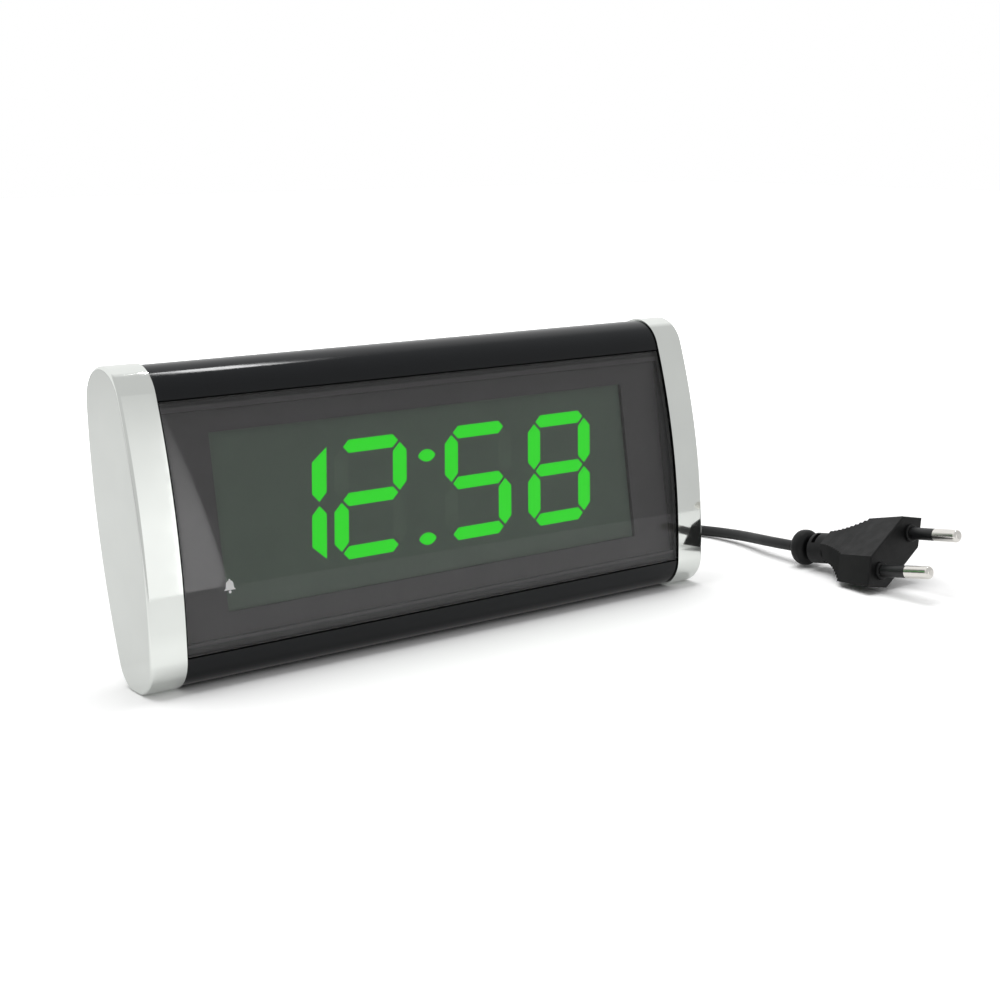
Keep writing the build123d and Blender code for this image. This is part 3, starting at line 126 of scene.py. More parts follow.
# Distance over which the table whitens for the camera, and the depths over which it is
# lifted for polished pieces, behind and in front, as painted light that only polished pieces see.
TABLE_FADE = (0.22, 0.55)
TABLE_UNDER = (-0.12, 0.06)
TABLE_FRONT = (-0.01, -0.07)
# Rise of the view over which the dome brightens, and its light low down and high up.
DOME_RISE = (0.05, 0.7)
DOME_LIGHT = (0.05, 0.6)
# Turn of the view to the back over which mirrored surroundings brighten, and their light.
SWEEP_TURN = (0.05, 0.30)
SWEEP_LIGHT = (0.66, 1.02)


class ClockSizes(bpy.types.PropertyGroup):
    """Sizes a maker would change."""

    foot: FloatVectorProperty(
        name="Foot rounding",
        description="Depth and height of the middle of the foot rounding, and its radius",
        default=(-0.0144, 0.0092, 0.0096),
        unit="LENGTH",
    )
    crown: FloatVectorProperty(
        name="Crown rounding",
        description="Depth and height of the middle of the crown rounding, and its radius",
        default=(-0.0027, 0.0733, 0.0101),
        unit="LENGTH",
    )
    front_radius: FloatProperty(
        name="Front bow",
        description="Radius of the bowed front of the end caps",
        default=0.203,
        unit="LENGTH",
    )
    back_radius: FloatProperty(
        name="Back bow",
        description="Radius of the bowed back of the end caps",
        default=0.208,
        unit="LENGTH",
    )
    cap_mouth: FloatProperty(
        name="Cap mouth",
        description="Sideways place of the open side of the end caps",
        default=0.0857,
        unit="LENGTH",
    )
    cap_edge: FloatProperty(
        name="Cap edge",
        description="Rounding of the outer edge of the end caps",
        default=0.0009,
        unit="LENGTH",
    )
    cap_wall: FloatProperty(
        name="Cap wall",
        description="Thickness of the rim of the end caps",
        default=0.0016,
        unit="LENGTH",
    )
    cap_face: FloatProperty(
        name="Cap face",
        description="Thickness of the outer face of the end caps",
        default=0.002,
        unit="LENGTH",
    )
    display_lean: FloatProperty(
        name="Display lean",
        description="How far the display leans back",
        default=math.radians(9.58),
        subtype="ANGLE",
    )
    mark_place: FloatVectorProperty(
        name="Bell mark place",
        description="Sideways place and height of the printed bell on the lens",
        size=2,
        default=(-0.0722, 0.0264),
        unit="LENGTH",
    )
    lens_outer: FloatProperty(
        name="Lens bend",
        description="Radius of the lens's outer face",
        default=0.2025,
        unit="LENGTH",
    )
    lens_thickness: FloatProperty(
        name="Lens thickness",
        description="Thickness of the smoked sheet",
        default=0.002,
        unit="LENGTH",
    )
    lens_edge: FloatProperty(
        name="Lens edge",
        description="Width of the chamfer round the lens",
        default=0.00012,
        unit="LENGTH",
    )
    seat_border: FloatProperty(
        name="Seat border",
        description="Width of the bare border on the ledge under the lens",
        default=0.0018,
        unit="LENGTH",
    )
    cord_diameter: FloatProperty(
        name="Cord diameter",
        description="Diameter of the mains lead",
        default=0.0036,
        unit="LENGTH",
    )
    cord_length: FloatProperty(
        name="Cord length",
        description="Length of the mains lead from the boot to the plug",
        default=1.035,
        unit="LENGTH",
    )
    coil_x: FloatProperty(
        name="Coil place",
        description="Sideways place of the middle of the coil",
        default=0.0211,
        unit="LENGTH",
    )
    coil_near: FloatProperty(
        name="Coil near side",
        description="Depth of the coil's near side",
        default=0.0751,
        unit="LENGTH",
    )
    coil_radius: FloatProperty(
        name="Coil radius",
        description="Radius of the coil's outermost half turn",
        default=0.0273,
        unit="LENGTH",
    )
    coil_step: FloatProperty(
        name="Coil step",
        description="How much smaller each half turn is",
        default=0.0021,
        unit="LENGTH",
    )
    mark_size: FloatProperty(
        name="Mark size",
        description="Height of the printed marks",
        default=0.0037,
        unit="LENGTH",
    )
    back_inset: FloatProperty(
        name="Back inset",
        description="How far the rear cover's skin lies inside the end caps' outline",
        default=0.0005,
        unit="LENGTH",
    )
    mark_lift: FloatProperty(
        name="Rear mark lift",
        description="Height of the rear marks above the top of their buttons",
        default=0.0046,
        unit="LENGTH",
    )


class ClockColours(bpy.types.PropertyGroup):
    """Colours a maker would change."""

    chrome: FloatVectorProperty(
        name="Chrome",
        description="Plated end caps",
        default=(0.79, 0.815, 0.785),
        subtype="COLOR",
    )
    gloss_black: FloatVectorProperty(
        name="Gloss black",
        description="Polished case strips",
        default=(0.0050, 0.0063, 0.0078),
        subtype="COLOR",
    )
    back_black: FloatVectorProperty(
        name="Back black",
        description="Fine-textured rear cover",
        default=(0.016, 0.016, 0.0175),
        subtype="COLOR",
    )
    lens: FloatVectorProperty(
        name="Lens smoke",
        description="Colour that the lens lets through",
        default=(0.62, 0.62, 0.62),
        subtype="COLOR",
    )
    mask: FloatVectorProperty(
        name="Mask",
        description="Frame behind the lens",
        default=(0.112, 0.106, 0.112),
        subtype="COLOR",
    )
    window: FloatVectorProperty(
        name="Window",
        description="Unlit face of the display",
        default=(0.152, 0.216, 0.162),
        subtype="COLOR",
    )
    lit: FloatVectorProperty(
        name="Lit segments",
        description="Colour of the light from the digits",
        default=(0.010, 1.03, 0.0),
        subtype="COLOR",
        soft_max=2.0,
    )
    button: FloatVectorProperty(
        name="Buttons",
        description="Set buttons and the slide knob",
        default=(0.33, 0.33, 0.34),
        subtype="COLOR",
    )
    cord: FloatVectorProperty(
        name="Cord",
        description="Jacket of the mains lead",
        default=(0.0065, 0.007, 0.0074),
        subtype="COLOR",
    )
    plug: FloatVectorProperty(
        name="Plug",
        description="Moulded plug body",
        default=(0.0035, 0.0038, 0.004),
        subtype="COLOR",
    )
    nickel: FloatVectorProperty(
        name="Nickel",
        description="Plated pins",
        default=(0.78, 0.76, 0.72),
        subtype="COLOR",
    )


class StageSettings(bpy.types.PropertyGroup):
    """Camera and light."""

    focal_length: FloatProperty(
        name="Focal length",
        description="Lens of the camera on a 36 mm sensor",
        default=62.256,
        unit="CAMERA",
    )
    eye: FloatVectorProperty(
        name="Camera place",
        description="Where the camera stands",
        default=(-0.28007, -0.40846, 0.14244),
        subtype="TRANSLATION",
    )
    target: FloatVectorProperty(
        name="Camera target",
        description="Point that the camera looks at",
        default=(0.02230, -0.01440, 0.03539),
        subtype="TRANSLATION",
    )
    table_front: FloatProperty(
        name="Table edge",
        description="How far the table reaches in front of the clock",
        default=0.265,
        unit="LENGTH",
    )
    table_turn: FloatProperty(
        name="Table turn",
        description="How far the table's front edge is turned from the clock's front",
        default=math.radians(16.0),
        subtype="ANGLE",
    )


def sizes():
    return bpy.context.scene.clock_sizes


def colours():
    return bpy.context.scene.clock_colours


def tone(colour, share):
    return tuple(min(1.0, channel * share) for channel in colour) + (1.0,)


def opaque(colour):
    return tuple(colour) + (1.0,)


class Finish:
    """Node tree of a new material or world, with makers for the nodes that it needs."""

    def __init__(self, owner):
        owner.use_nodes = True
        self.owner = owner
        self.nodes = owner.node_tree.nodes
        self.links = owner.node_tree.links
        self.place = self.add("ShaderNodeTexCoord")["Object"]

    def add(self, kind, inputs=None, **settings):
        """Outputs of a new node with its settings made and its inputs filled."""
        node = self.nodes.new(kind)
        for name, value in settings.items():
            setattr(node, name, value)
        self.fill(node, inputs or {})
        return node.outputs

    def fill(self, node, inputs):
        """Links inputs to other nodes' outputs and sets the rest to plain values."""
        for key, value in inputs.items():
            if isinstance(value, bpy.types.NodeSocket):
                self.links.new(value, node.inputs[key])
            else:
                node.inputs[key].default_value = value

    def show(self, output, surface):
        """Makes a shader the surface of the tree's output node."""
        self.fill(self.nodes[output], {"Surface": surface})

    def axes(self):
        return self.add("ShaderNodeSeparateXYZ", {"Vector": self.place})

    def calculate(self, operation, *values):
        return self.add("ShaderNodeMath", dict(enumerate(values)), operation=operation)["Value"]

    def spread(self, value, start, end, low=0.0, high=1.0):
        """A value moved from the span start to end into the span low to high."""
        return self.add(
            "ShaderNodeMapRange",
            {"Value": value, "From Min": start, "From Max": end, "To Min": low, "To Max": high},
        )["Result"]

    def noise(self, scale, detail):
        return self.add(
            "ShaderNodeTexNoise",
            {"Vector": self.place, "Scale": scale, "Detail": detail},
        )["Fac"]

    def uneven(self, scale, detail, low, high):
        """Noise between two values."""
        return self.spread(self.noise(scale, detail), NOISE_LOW, NOISE_HIGH, low, high)

    def mottle(self, scale, detail, dark, light):
        """Noise between two colours."""
        return self.ramp(self.noise(scale, detail), ((NOISE_LOW, dark), (NOISE_HIGH, light)))

    def ramp(self, value, stops):
        ramp = self.nodes.new("ShaderNodeValToRGB")
        while len(ramp.color_ramp.elements) < len(stops):
            ramp.color_ramp.elements.new(0.5)
        for element, (position, colour) in zip(ramp.color_ramp.elements, stops):
            element.position = position
            element.color = colour
        self.fill(ramp, {"Fac": value})
        return ramp.outputs["Color"]

    def bump(self, height, strength, distance):
        return self.add(
            "ShaderNodeBump",
            {"Height": height, "Strength": strength, "Distance": distance},
        )["Normal"]

    def mix(self, share, first, second):
        return self.add("ShaderNodeMixShader", {"Fac": share, 1: first, 2: second})["Shader"]


def start_finish(name):
    """Finish of a new material, and its shader."""
    finish = Finish(bpy.data.materials.new(name))
    return finish, finish.nodes["Principled BSDF"]


def moulded(name, colour, rough, grain, depth, spread=0.12, strength=0.4, specular=0.5):
    """Moulded plastic or rubber: mottled colour, uneven gloss and a fine grain."""
    finish, shader = start_finish(name)
    dark = tone(colour, 1.0 - spread)
    light = tone(colour, 1.0 + spread)
    finish.fill(
        shader,
        {
            "Base Color": finish.mottle(90.0, 4.0, dark, light),
            "Roughness": finish.uneven(260.0, 3.0, *rough),
            "Normal": finish.bump(finish.noise(grain, 2.0), strength, depth),
            "Specular IOR Level": specular,
        },
    )
    return finish.owner


def blackened_edge_and_gap_shade(name):
    """Dark matt finish: the blackened cut edge of the lens, and painted shade on the cut edge of
    the mask's window.
    """
    return moulded(name, (0.010, 0.010, 0.010), rough=(0.6, 0.7), grain=1100.0, depth=0.000004)


def plated(name, colour, rough, wave_depth):
    """Plated metal: uneven polish and the faint waviness of the part under it."""
    finish, shader = start_finish(name)
    finish.fill(
        shader,
        {
            "Metallic": 1.0,
            "Base Color": finish.mottle(55.0, 4.0, tone(colour, 0.97), tone(colour, 1.02)),
            "Roughness": finish.uneven(320.0, 5.0, *rough),
            "Normal": finish.bump(finish.noise(38.0, 1.0), 0.25, wave_depth),
        },
    )
    return finish.owner


def layered(name, colour, rough, direction, pitch, depth, metallic):
    """Stacked sheets or turns of wire: fine lines across the stack."""
    finish, shader = start_finish(name)
    lines = finish.add(
        "ShaderNodeTexWave",
        {"Vector": finish.place, "Scale": math.pi / (10.0 * pitch), "Distortion": 0.5},
        bands_direction=direction,
    )["Fac"]
    shades = ((0.15, tone(colour, 0.6)), (0.6, tone(colour, 1.1)))
    finish.fill(
        shader,
        {
            "Metallic": metallic,
            "Base Color": finish.ramp(lines, shades),
            "Roughness": finish.uneven(320.0, 4.0, *rough),
            "Normal": finish.bump(lines, 0.5, depth),
        },
    )
    return finish.owner


def bordered(name, colour, bare, low, high, border):
    """Printed ledge: the print inside, bare plastic along its upper and lower border."""
    finish, shader = start_finish(name)
    across = finish.spread(finish.axes()["Z"], low, high)
    share = border / (high - low)
    inner = 1.2 * share
    shades = (
        (share, tone(bare, 1.0)),
        (inner, tone(colour, 1.0)),
        (1.0 - inner, tone(colour, 1.0)),
        (1.0 - share, tone(bare, 1.0)),
    )
    finish.fill(
        shader,
        {
            "Base Color": finish.ramp(across, shades),
            "Roughness": finish.uneven(260.0, 3.0, 0.5, 0.62),
            "Normal": finish.bump(finish.noise(1100.0, 2.0), 0.4, 0.000004),
        },
    )
    return finish.owner


def smoked(name, colour):
    """Smoked sheet: clear tinted gloss that lets lamps reach what is behind it."""
    finish, shader = start_finish(name)
    finish.fill(
        shader,
        {
            "Base Color": opaque(colour),
            "Transmission Weight": 1.0,
            "IOR": 1.39,
            "Roughness": finish.uneven(420.0, 4.0, 0.0, 0.03),
        },
    )
    clear = finish.add("ShaderNodeBsdfTransparent", {"Color": opaque(colour)})["BSDF"]
    shadow = finish.add("ShaderNodeLightPath")["Is Shadow Ray"]
    finish.show("Material Output", finish.mix(shadow, shader.outputs["BSDF"], clear))
    return finish.owner


def glowing(name, colour):
    """Lit segment: a glow with the faint grain of its diffuser."""
    finish, shader = start_finish(name)
    dim = opaque(channel * 0.97 for channel in colour)
    finish.fill(
        shader,
        {
            "Base Color": (0.0, 0.10, 0.0, 1.0),
            "Roughness": 0.4,
            "Emission Color": finish.mottle(900.0, 2.0, dim, opaque(colour)),
            "Emission Strength": 1.0,
        },
    )
    return finish.owner


def table_finish():
    """White table: whiter for the camera, and lifted where polished pieces mirror it, as a painted
    glow under the clock and a painted brighter front.
    """
    finish, shader = start_finish("table_white")
    path = finish.add("ShaderNodeLightPath")
    depth = finish.axes()["Y"]
    away = finish.add("ShaderNodeVectorMath", {0: finish.place}, operation="LENGTH")["Value"]
    fade = finish.spread(away, *TABLE_FADE, 0.0, 0.9)
    dark = (0.0, 0.0, 0.0, 1.0)
    faint = (0.14, 0.14, 0.14, 1.0)
    # Painted glow under the clock that only mirrored rays see.
    near = finish.ramp(
        finish.spread(depth, *TABLE_UNDER),
        ((0.10, dark), (0.40, faint), (0.62, faint), (0.72, dark)),
    )
    under = finish.calculate("MULTIPLY", path["Is Glossy Ray"], near)
    lift = finish.calculate("MULTIPLY_ADD", path["Is Camera Ray"], fade, under)
    finish.fill(
        shader,
        {
            "Base Color": (0.66, 0.66, 0.66, 1.0),
            "Roughness": 0.55,
            "Specular IOR Level": 0.2,
            "Emission Color": WHITE,
            "Emission Strength": lift,
        },
    )
    # Painted brighter front that only mirrored rays see.
    front = finish.spread(depth, *TABLE_FRONT, 0.0, 0.20)
    mirrored = finish.calculate("MULTIPLY", path["Is Glossy Ray"], front)
    brighter = finish.calculate("MULTIPLY_ADD", path["Is Camera Ray"], 0.40, mirrored)
    white = finish.add("ShaderNodeBsdfDiffuse", {"Color": brighter})["BSDF"]
    both = finish.add("ShaderNodeAddShader", {0: shader.outputs["BSDF"], 1: white})["Shader"]
    finish.show("Material Output", both)
    return finish.owner


def card_finish():
    """Light card: a bright strip with bent edges that fades out upwards."""
    finish, shader = start_finish("card_light")
    finish.nodes.remove(shader)
    axes = finish.axes()
    height = finish.calculate("ADD", axes["Z"], STRIP_DROP)
    square = finish.calculate("POWER", height, 2.0)
    bend = finish.calculate("MULTIPLY_ADD", square, STRIP_BEND, axes["X"])
    slant = finish.calculate("MULTIPLY_ADD", axes["Z"], STRIP_SLANT, bend)
    strip = finish.spread(bend, *STRIP_START, CARD_NEAR, CARD_STRIP)
    past = finish.spread(slant, *STRIP_END, strip, CARD_PAST)
    level = finish.spread(axes["Z"], *CARD_FADE, past, CARD_PAST)
    glow = finish.add("ShaderNodeEmission", {"Strength": level})["Emission"]
    finish.show("Material Output", glow)
    return finish.owner


def verts_of(geometry):
    return [part for part in geometry if isinstance(part, bmesh.types.BMVert)]


def pull(bm, faces, way, keep):
    """Pulls faces out along a way, with or without a copy left at the start."""
    pulled = bmesh.ops.extrude_face_region(bm, geom=faces, use_keep_orig=keep)
    bmesh.ops.translate(bm, vec=way, verts=verts_of(pulled["geom"]))


def cut_away(bm, point, normal, **side):
    """Cuts a bmesh at a plane and clears the side that is named."""
    bmesh.ops.bisect_plane(
        bm,
        geom=bm.verts[:] + bm.edges[:] + bm.faces[:],
        dist=PLANE_SLACK,
        plane_co=point,
        plane_no=normal,
        **side,
    )


def round_edges(bm, edges, offset, segments, clamp=False):
    bmesh.ops.bevel(
        bm,
        geom=edges,
        offset=offset,
        offset_type="OFFSET",
        affect="EDGES",
        segments=segments,
        profile=0.5,
        material=-1,
        clamp_overlap=clamp,
    )


def shade_smooth(bm, limit):
    """Smooth faces that break at edges sharper than a limit."""
    for face in bm.faces:
        face.smooth = True
        face.material_index = 0
    for line in bm.edges:
        line.smooth = line.is_manifold and line.calc_face_angle() < limit


def put_in_scene(bm, name, material):
    """Makes a bmesh an object with one material."""
    mesh = bpy.data.meshes.new(name)
    bm.to_mesh(mesh)
    bm.free()
    if "custom_normal" in mesh.attributes:
        mesh.attributes.remove(mesh.attributes["custom_normal"])
    mesh.materials.append(material)
    thing = bpy.data.objects.new(name, mesh)
    bpy.context.scene.collection.objects.link(thing)
    return thing


def merged_copy(node, name, body, material, slot, edge=0.0, even=True):
    """A welded copy of a solid's mesh with clean shading, standing for that solid."""
    bm = bmesh.new()
    bm.from_mesh(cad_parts[node].data)
    bmesh.ops.remove_doubles(bm, verts=bm.verts, dist=WELD)
    bmesh.ops.dissolve_limit(bm, angle_limit=FLAT_ANGLE, verts=bm.verts, edges=bm.edges)
    if edge > 0.0:
        keen = [e for e in bm.edges if e.is_manifold and e.calc_face_angle_signed() > COPY_ANGLE]
        round_edges(bm, keen, edge, 2, clamp=True)
    shade_smooth(bm, COPY_ANGLE)
    return finish_piece(bm, name, body, material, slot, node, even=even)


def finish_piece(bm, name, body, material, slot, *nodes, even=True):
    """Puts a bmesh into the scene as one piece that rides on a body."""
    piece = put_in_scene(bm, name, material)
    if even:
        shading = piece.modifiers.new("even_shading", "WEIGHTED_NORMAL")
        shading.keep_sharp = True
        shading.weight = 50
    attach(piece, body)
    if nodes:
        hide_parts(*nodes)
    return piece


def bow_centre(radius, foot, crown, side):
    """Middle of the arc that touches both roundings from outside, in depth and height."""
    start = Vector((foot[0], foot[1]))
    chord = Vector((crown[0], crown[1])) - start
    near = radius - foot[2]
    far = radius - crown[2]
    along = (near * near - far * far + chord.length_squared) / (2.0 * chord.length)
    off = math.sqrt(near * near - along * along)
    ahead = chord.normalized()
    return start + ahead * along + Vector((ahead.y, -ahead.x)) * off * side


def front_bow(size):
    return bow_centre(size.front_radius, size.foot, size.crown, 1.0)


def back_bow(size):
    return bow_centre(size.back_radius, size.foot, size.crown, -1.0)


def leaf_outline(bm, x, size):
    """Closed section of the case at one place across its width, by turning a point."""
    foot = Vector((size.foot[0], size.foot[1]))
    crown = Vector((size.crown[0], size.crown[1]))
    front = front_bow(size)
    back = back_bow(size)
    aims = [foot - front, crown - front, crown - back, foot - back, foot - front]
    turns = [math.atan2(aim.y, aim.x) for aim in aims]
    start = foot + aims[0].normalized() * size.foot[2]
    tip = [bm.verts.new((x, start.x, start.y))]
    arcs = (
        (front, BOW_STEPS),
        (crown, ROUNDING_STEPS),
        (back, BOW_STEPS),
        (foot, ROUNDING_STEPS),
    )
    for i, (middle, steps) in enumerate(arcs):
        sweep = (turns[i] - turns[i + 1]) % (2.0 * math.pi)
        run = bmesh.ops.spin(
            bm,
            geom=tip,
            cent=(x, middle.x, middle.y),
            axis=(1.0, 0.0, 0.0),
            angle=-sweep,
            steps=steps,
        )
        tip = verts_of(run["geom_last"])
    bmesh.ops.remove_doubles(bm, verts=bm.verts, dist=OUTLINE_WELD)


def draw_bell(bm):
    """Bell of unit height with its knob and clapper."""
    right = bm.verts.new((0.30, 0.12, 0.0))
    dome = bmesh.ops.spin(
        bm,
        geom=[right],
        cent=(0.0, 0.12, 0.0),
        axis=(0.0, 0.0, 1.0),
        angle=math.pi,
        steps=16,
    )
    left = verts_of(dome["geom_last"])[0]
    skirt = [bm.verts.new(spot) for spot in (
        (-0.33, -0.12, 0.0),
        (-0.46, -0.27, 0.0),
        (0.46, -0.27, 0.0),
        (0.33, -0.12, 0.0),
    )]
    line = [left] + skirt + [right]
    for first, second in zip(line, line[1:]):
        bm.edges.new((first, second))
    bmesh.ops.contextual_create(bm, geom=bm.edges[:])
    for segments, radius, height in ((18, 0.11, -0.40), (14, 0.07, 0.45)):
        disc = bmesh.ops.create_circle(bm, cap_ends=True, segments=segments, radius=radius)
        bmesh.ops.translate(bm, vec=(0.0, height, 0.0), verts=disc["verts"])


def draw_dial(bm):
    """Ring of unit height with two hands."""
    outer = bmesh.ops.create_circle(bm, segments=40, radius=0.5)
    inner = bmesh.ops.create_circle(bm, segments=40, radius=0.41)
    rings = {e for v in outer["verts"] + inner["verts"] for e in v.link_edges}
    bmesh.ops.bridge_loops(bm, edges=list(rings))
    hands = [bm.verts.new(spot) for spot in (
        (-0.04, 0.30, 0.0),
        (-0.04, -0.04, 0.0),
        (0.24, -0.04, 0.0),
        (0.24, 0.04, 0.0),
        (0.04, 0.04, 0.0),
        (0.04, 0.30, 0.0),
    )]
    bm.faces.new(hands)


def draw_arrow(bm, shift=0.0):
    """Arrow head that points along the drawing's own x."""
    head = bmesh.ops.create_circle(bm, cap_ends=True, segments=3, radius=0.42)
    turn = Matrix.Rotation(-math.pi / 2.0, 3, "Z")
    bmesh.ops.rotate(bm, cent=(0.0, 0.0, 0.0), matrix=turn, verts=head["verts"])
    bmesh.ops.translate(bm, vec=(shift, 0.0, 0.0), verts=head["verts"])


def draw_pair(bm):
    """Two arrow heads in a row."""
    draw_arrow(bm, -0.36)
    draw_arrow(bm, 0.36)


def printing_ink():
    """The one ink of all printed marks."""
    ready = bpy.data.materials.get("printing_ink")
    if ready:
        return ready
    return moulded(
        "printing_ink",
        (0.95, 0.95, 0.95),
        rough=(0.5, 0.6),
        grain=900.0,
        depth=0.000002,
        spread=0.03,
    )


def print_sheet(bm, name, place):
    """Gives a flat drawing its size and thickness and lays it on a surface."""
    scale = sizes().mark_size
    bmesh.ops.scale(bm, vec=(scale, scale, 1.0), verts=bm.verts)
    bmesh.ops.recalc_face_normals(bm, faces=bm.faces)
    pull(bm, bm.faces[:], (0.0, 0.0, INK_THICKNESS), keep=True)
    bmesh.ops.recalc_face_normals(bm, faces=bm.faces)
    bmesh.ops.transform(bm, matrix=place, verts=bm.verts)
    return finish_piece(bm, name, "clock", printing_ink(), "bobbin_white", even=False)


def dress(node, material):
    """Gives a solid that stays a finish."""
    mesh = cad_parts[node].data
    mesh.materials.clear()
    mesh.materials.append(material)


class CLOCK_OT_cord(bpy.types.Operator):
    """Lay the mains lead from the boot through its coil to the plug"""

    bl_idname = "clock.cord"
    bl_label = "Mains cord"

    def execute(self, context):
        size = sizes()
        colour = colours()
        jacket = moulded(
            "cord_jacket",
            colour.cord,
            rough=(0.34, 0.46),
            grain=1800.0,
            depth=0.00002,
            specular=0.35,
        )
        plug_skin = moulded(
            "plug_skin",
            colour.plug,
            rough=(0.42, 0.56),
            grain=1500.0,
            depth=0.00006,
            specular=0.26,
        )
        sleeve_skin = moulded(
            "sleeve_skin",
            colour.cord,
            rough=(0.34, 0.44),
            grain=1500.0,
            depth=0.00002,
        )
        nickel = plated("pin_plating", colour.nickel, rough=(0.17, 0.22), wave_depth=0.00001)
        merged_copy("cord_gland", "cord_boot", "clock", jacket, "cord_black")
        body = merged_copy(
            "plug_body",
            "plug_moulding",
            "clock",
            plug_skin,
            "plug_grey",
            edge=PLUG_EDGE,
        )
        sleeves = merged_copy("plug_sleeves", "pin_sleeves", "clock", sleeve_skin, "plug_grey")
        pins = merged_copy("plug_pins", "pin_pair", "clock", nickel, "pin_nickel")
        tie = merged_copy("cord_tie", "coil_tie", "clock", jacket, "cord_black")
        line = bpy.data.curves.new("mains_cord", "CURVE")
        line.dimensions = "3D"
        spline = line.splines.new("NURBS")
        points = [Vector(p) * MM for p in CORD_LEAD]
        points += self.coil_points(size)
        points += [Vector(p) * MM for p in CORD_TAIL]
        spline.points.add(len(points) - 1)
        for control, place in zip(spline.points, points):
            control.co = (place.x, place.y, place.z, 1.0)
        spline.order_u = 3
        spline.use_endpoint_u = True
        spline.resolution_u = 6
        line.bevel_depth = 0.5 * size.cord_diameter
        line.bevel_resolution = 5
        line.use_fill_caps = True
        line.materials.append(jacket)
        cord = bpy.data.objects.new("mains_cord", line)
        context.scene.collection.objects.link(cord)
        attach(cord, "clock")
        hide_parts("cord_lead", "cord_coil", "cord_tail")
        return {"FINISHED"}

    def coil_points(self, size):
        """Half turns inwards on the table, one that climbs, then outwards on top."""
        inward = [size.coil_radius - i * size.coil_step for i in range(COIL_HALF_TURNS)]
        climb = [inward[-1] - size.coil_step]
        outward = inward[:0:-1]
        half = math.pi / (2.0 * COIL_STEPS)
        near = size.coil_near
        far = near
        points = []
        for i, radius in enumerate(inward + climb + outward):
            if i % 2 == 0:
                middle = near + radius
                far = near + 2.0 * radius
                start = -0.5 * math.pi
            else:
                middle = far - radius
                near = far - 2.0 * radius
                start = 0.5 * math.pi
            reach = radius / math.cos(half)
            for k in range(COIL_STEPS):
                turn = start + (2 * k + 1) * half
                height = COIL_LOW if i < COIL_HALF_TURNS else COIL_HIGH
                if i == COIL_HALF_TURNS:
                    height = COIL_LOW + (COIL_HIGH - COIL_LOW) * (k + 0.5) / COIL_STEPS
                across = size.coil_x + reach * math.cos(turn)
                depth = middle + reach * math.sin(turn)
                points.append(Vector((across, depth, height)))
        return points


class CLOCK_OT_end_caps(bpy.types.Operator):
    """Shape and plate the two cup-shaped end caps"""

    bl_idname = "clock.end_caps"
    bl_label = "Chrome end caps"

    def execute(self, context):
        chrome = plated("cap_plating", colours().chrome, rough=(0.03, 0.06), wave_depth=0.00002)
        self.make_cap("left_end_cap", "left_cap", chrome)
        self.make_cap("right_end_cap", "right_cap", chrome)
        return {"FINISHED"}

    def make_cap(self, node, name, chrome):
        """A cup of the case's section, cut off at the table, open towards the shell."""
        size = sizes()
        low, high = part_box(node)
        outer = high.x if high.x > 0.0 else low.x
        mouth = math.copysign(size.cap_mouth, outer)
        bm = bmesh.new()
        leaf_outline(bm, outer, size)
        bmesh.ops.contextual_create(bm, geom=bm.edges[:])
        cut_away(bm, (0.0, 0.0, 0.0), (0.0, 0.0, 1.0), clear_inner=True)
        pull(bm, bm.faces[:], (mouth - outer, 0.0, 0.0), keep=True)
        bmesh.ops.recalc_face_normals(bm, faces=bm.faces)
        bottom = [f for f in bm.faces if abs(f.calc_center_median().x - mouth) < SAME_PLACE]
        bmesh.ops.inset_region(bm, faces=bottom, thickness=size.cap_wall, use_even_offset=True)
        reach = outer - mouth - math.copysign(size.cap_face, outer)
        pull(bm, bottom, (reach, 0.0, 0.0), keep=False)
        bmesh.ops.delete(bm, geom=bottom, context="FACES_ONLY")
        bmesh.ops.recalc_face_normals(bm, faces=bm.faces)
        rim = [e for e in bm.edges if all(abs(v.co.x - outer) < SAME_PLACE for v in e.verts)]
        round_edges(bm, rim, size.cap_edge, 5)
        shade_smooth(bm, CAP_ANGLE)
        finish_piece(bm, name, "clock", chrome, "chrome_cap", node)


class CLOCK_OT_case(bpy.types.Operator):
    """Finish the front shell, rear cover, snooze bar, door, feet and screws"""

    bl_idname = "clock.case"
    bl_label = "Case"

    def execute(self, context):
        gloss = moulded(
            "case_gloss",
            colours().gloss_black,
            rough=(0.09, 0.14),
            grain=700.0,
            depth=0.000004,
            strength=0.15,
            specular=0.25,
        )
        back = moulded(
            "case_back",
            colours().back_black,
            rough=(0.46, 0.6),
            grain=1400.0,
            depth=0.00008,
            specular=0.4,
        )
        rubber = moulded(
            "foot_skin",
            (0.03, 0.03, 0.03),
            rough=(0.7, 0.85),
            grain=900.0,
            depth=0.00006,
        )
        steel = plated("screw_plating", (0.55, 0.55, 0.53), rough=(0.25, 0.4), wave_depth=0.00002)
        shell = merged_copy("front_shell", "front_case", "clock", gloss, "gloss_black", even=False)
        self.print_seat(shell)
        merged_copy("snooze_bar", "snooze_key", "snooze", gloss, "gloss_black")
        merged_copy("rear_cover", "rear_case", "clock", back, "back_black")
        merged_copy("battery_door", "battery_lid", "door", back, "back_black")
        merged_copy("rear_feet", "rubber_feet", "clock", rubber, "foot_rubber")
        merged_copy("case_screws", "cover_screws", "clock", steel, "screw_steel")
        dress("board_screws", steel)
        return {"FINISHED"}

    def print_seat(self, shell):
        """The ledge under the lens has the mask's colour up to a bare border."""
        size = sizes()
        bow = front_bow(size)
        seat = size.lens_outer - size.lens_thickness
        print_coat = bordered(
            "seat_print",
            colours().mask,
            colours().gloss_black,
            lens_low.z,
            lens_high.z,
            size.seat_border,
        )
        shell.data.materials.append(print_coat)
        for face in shell.data.polygons:
            out = Vector((face.center.y - bow.x, face.center.z - bow.y))
            facing = face.normal.y * out.x + face.normal.z * out.y
            if abs(out.length - seat) < SEAT_SLACK and facing > SEAT_FACING * out.length:
                face.material_index = 1


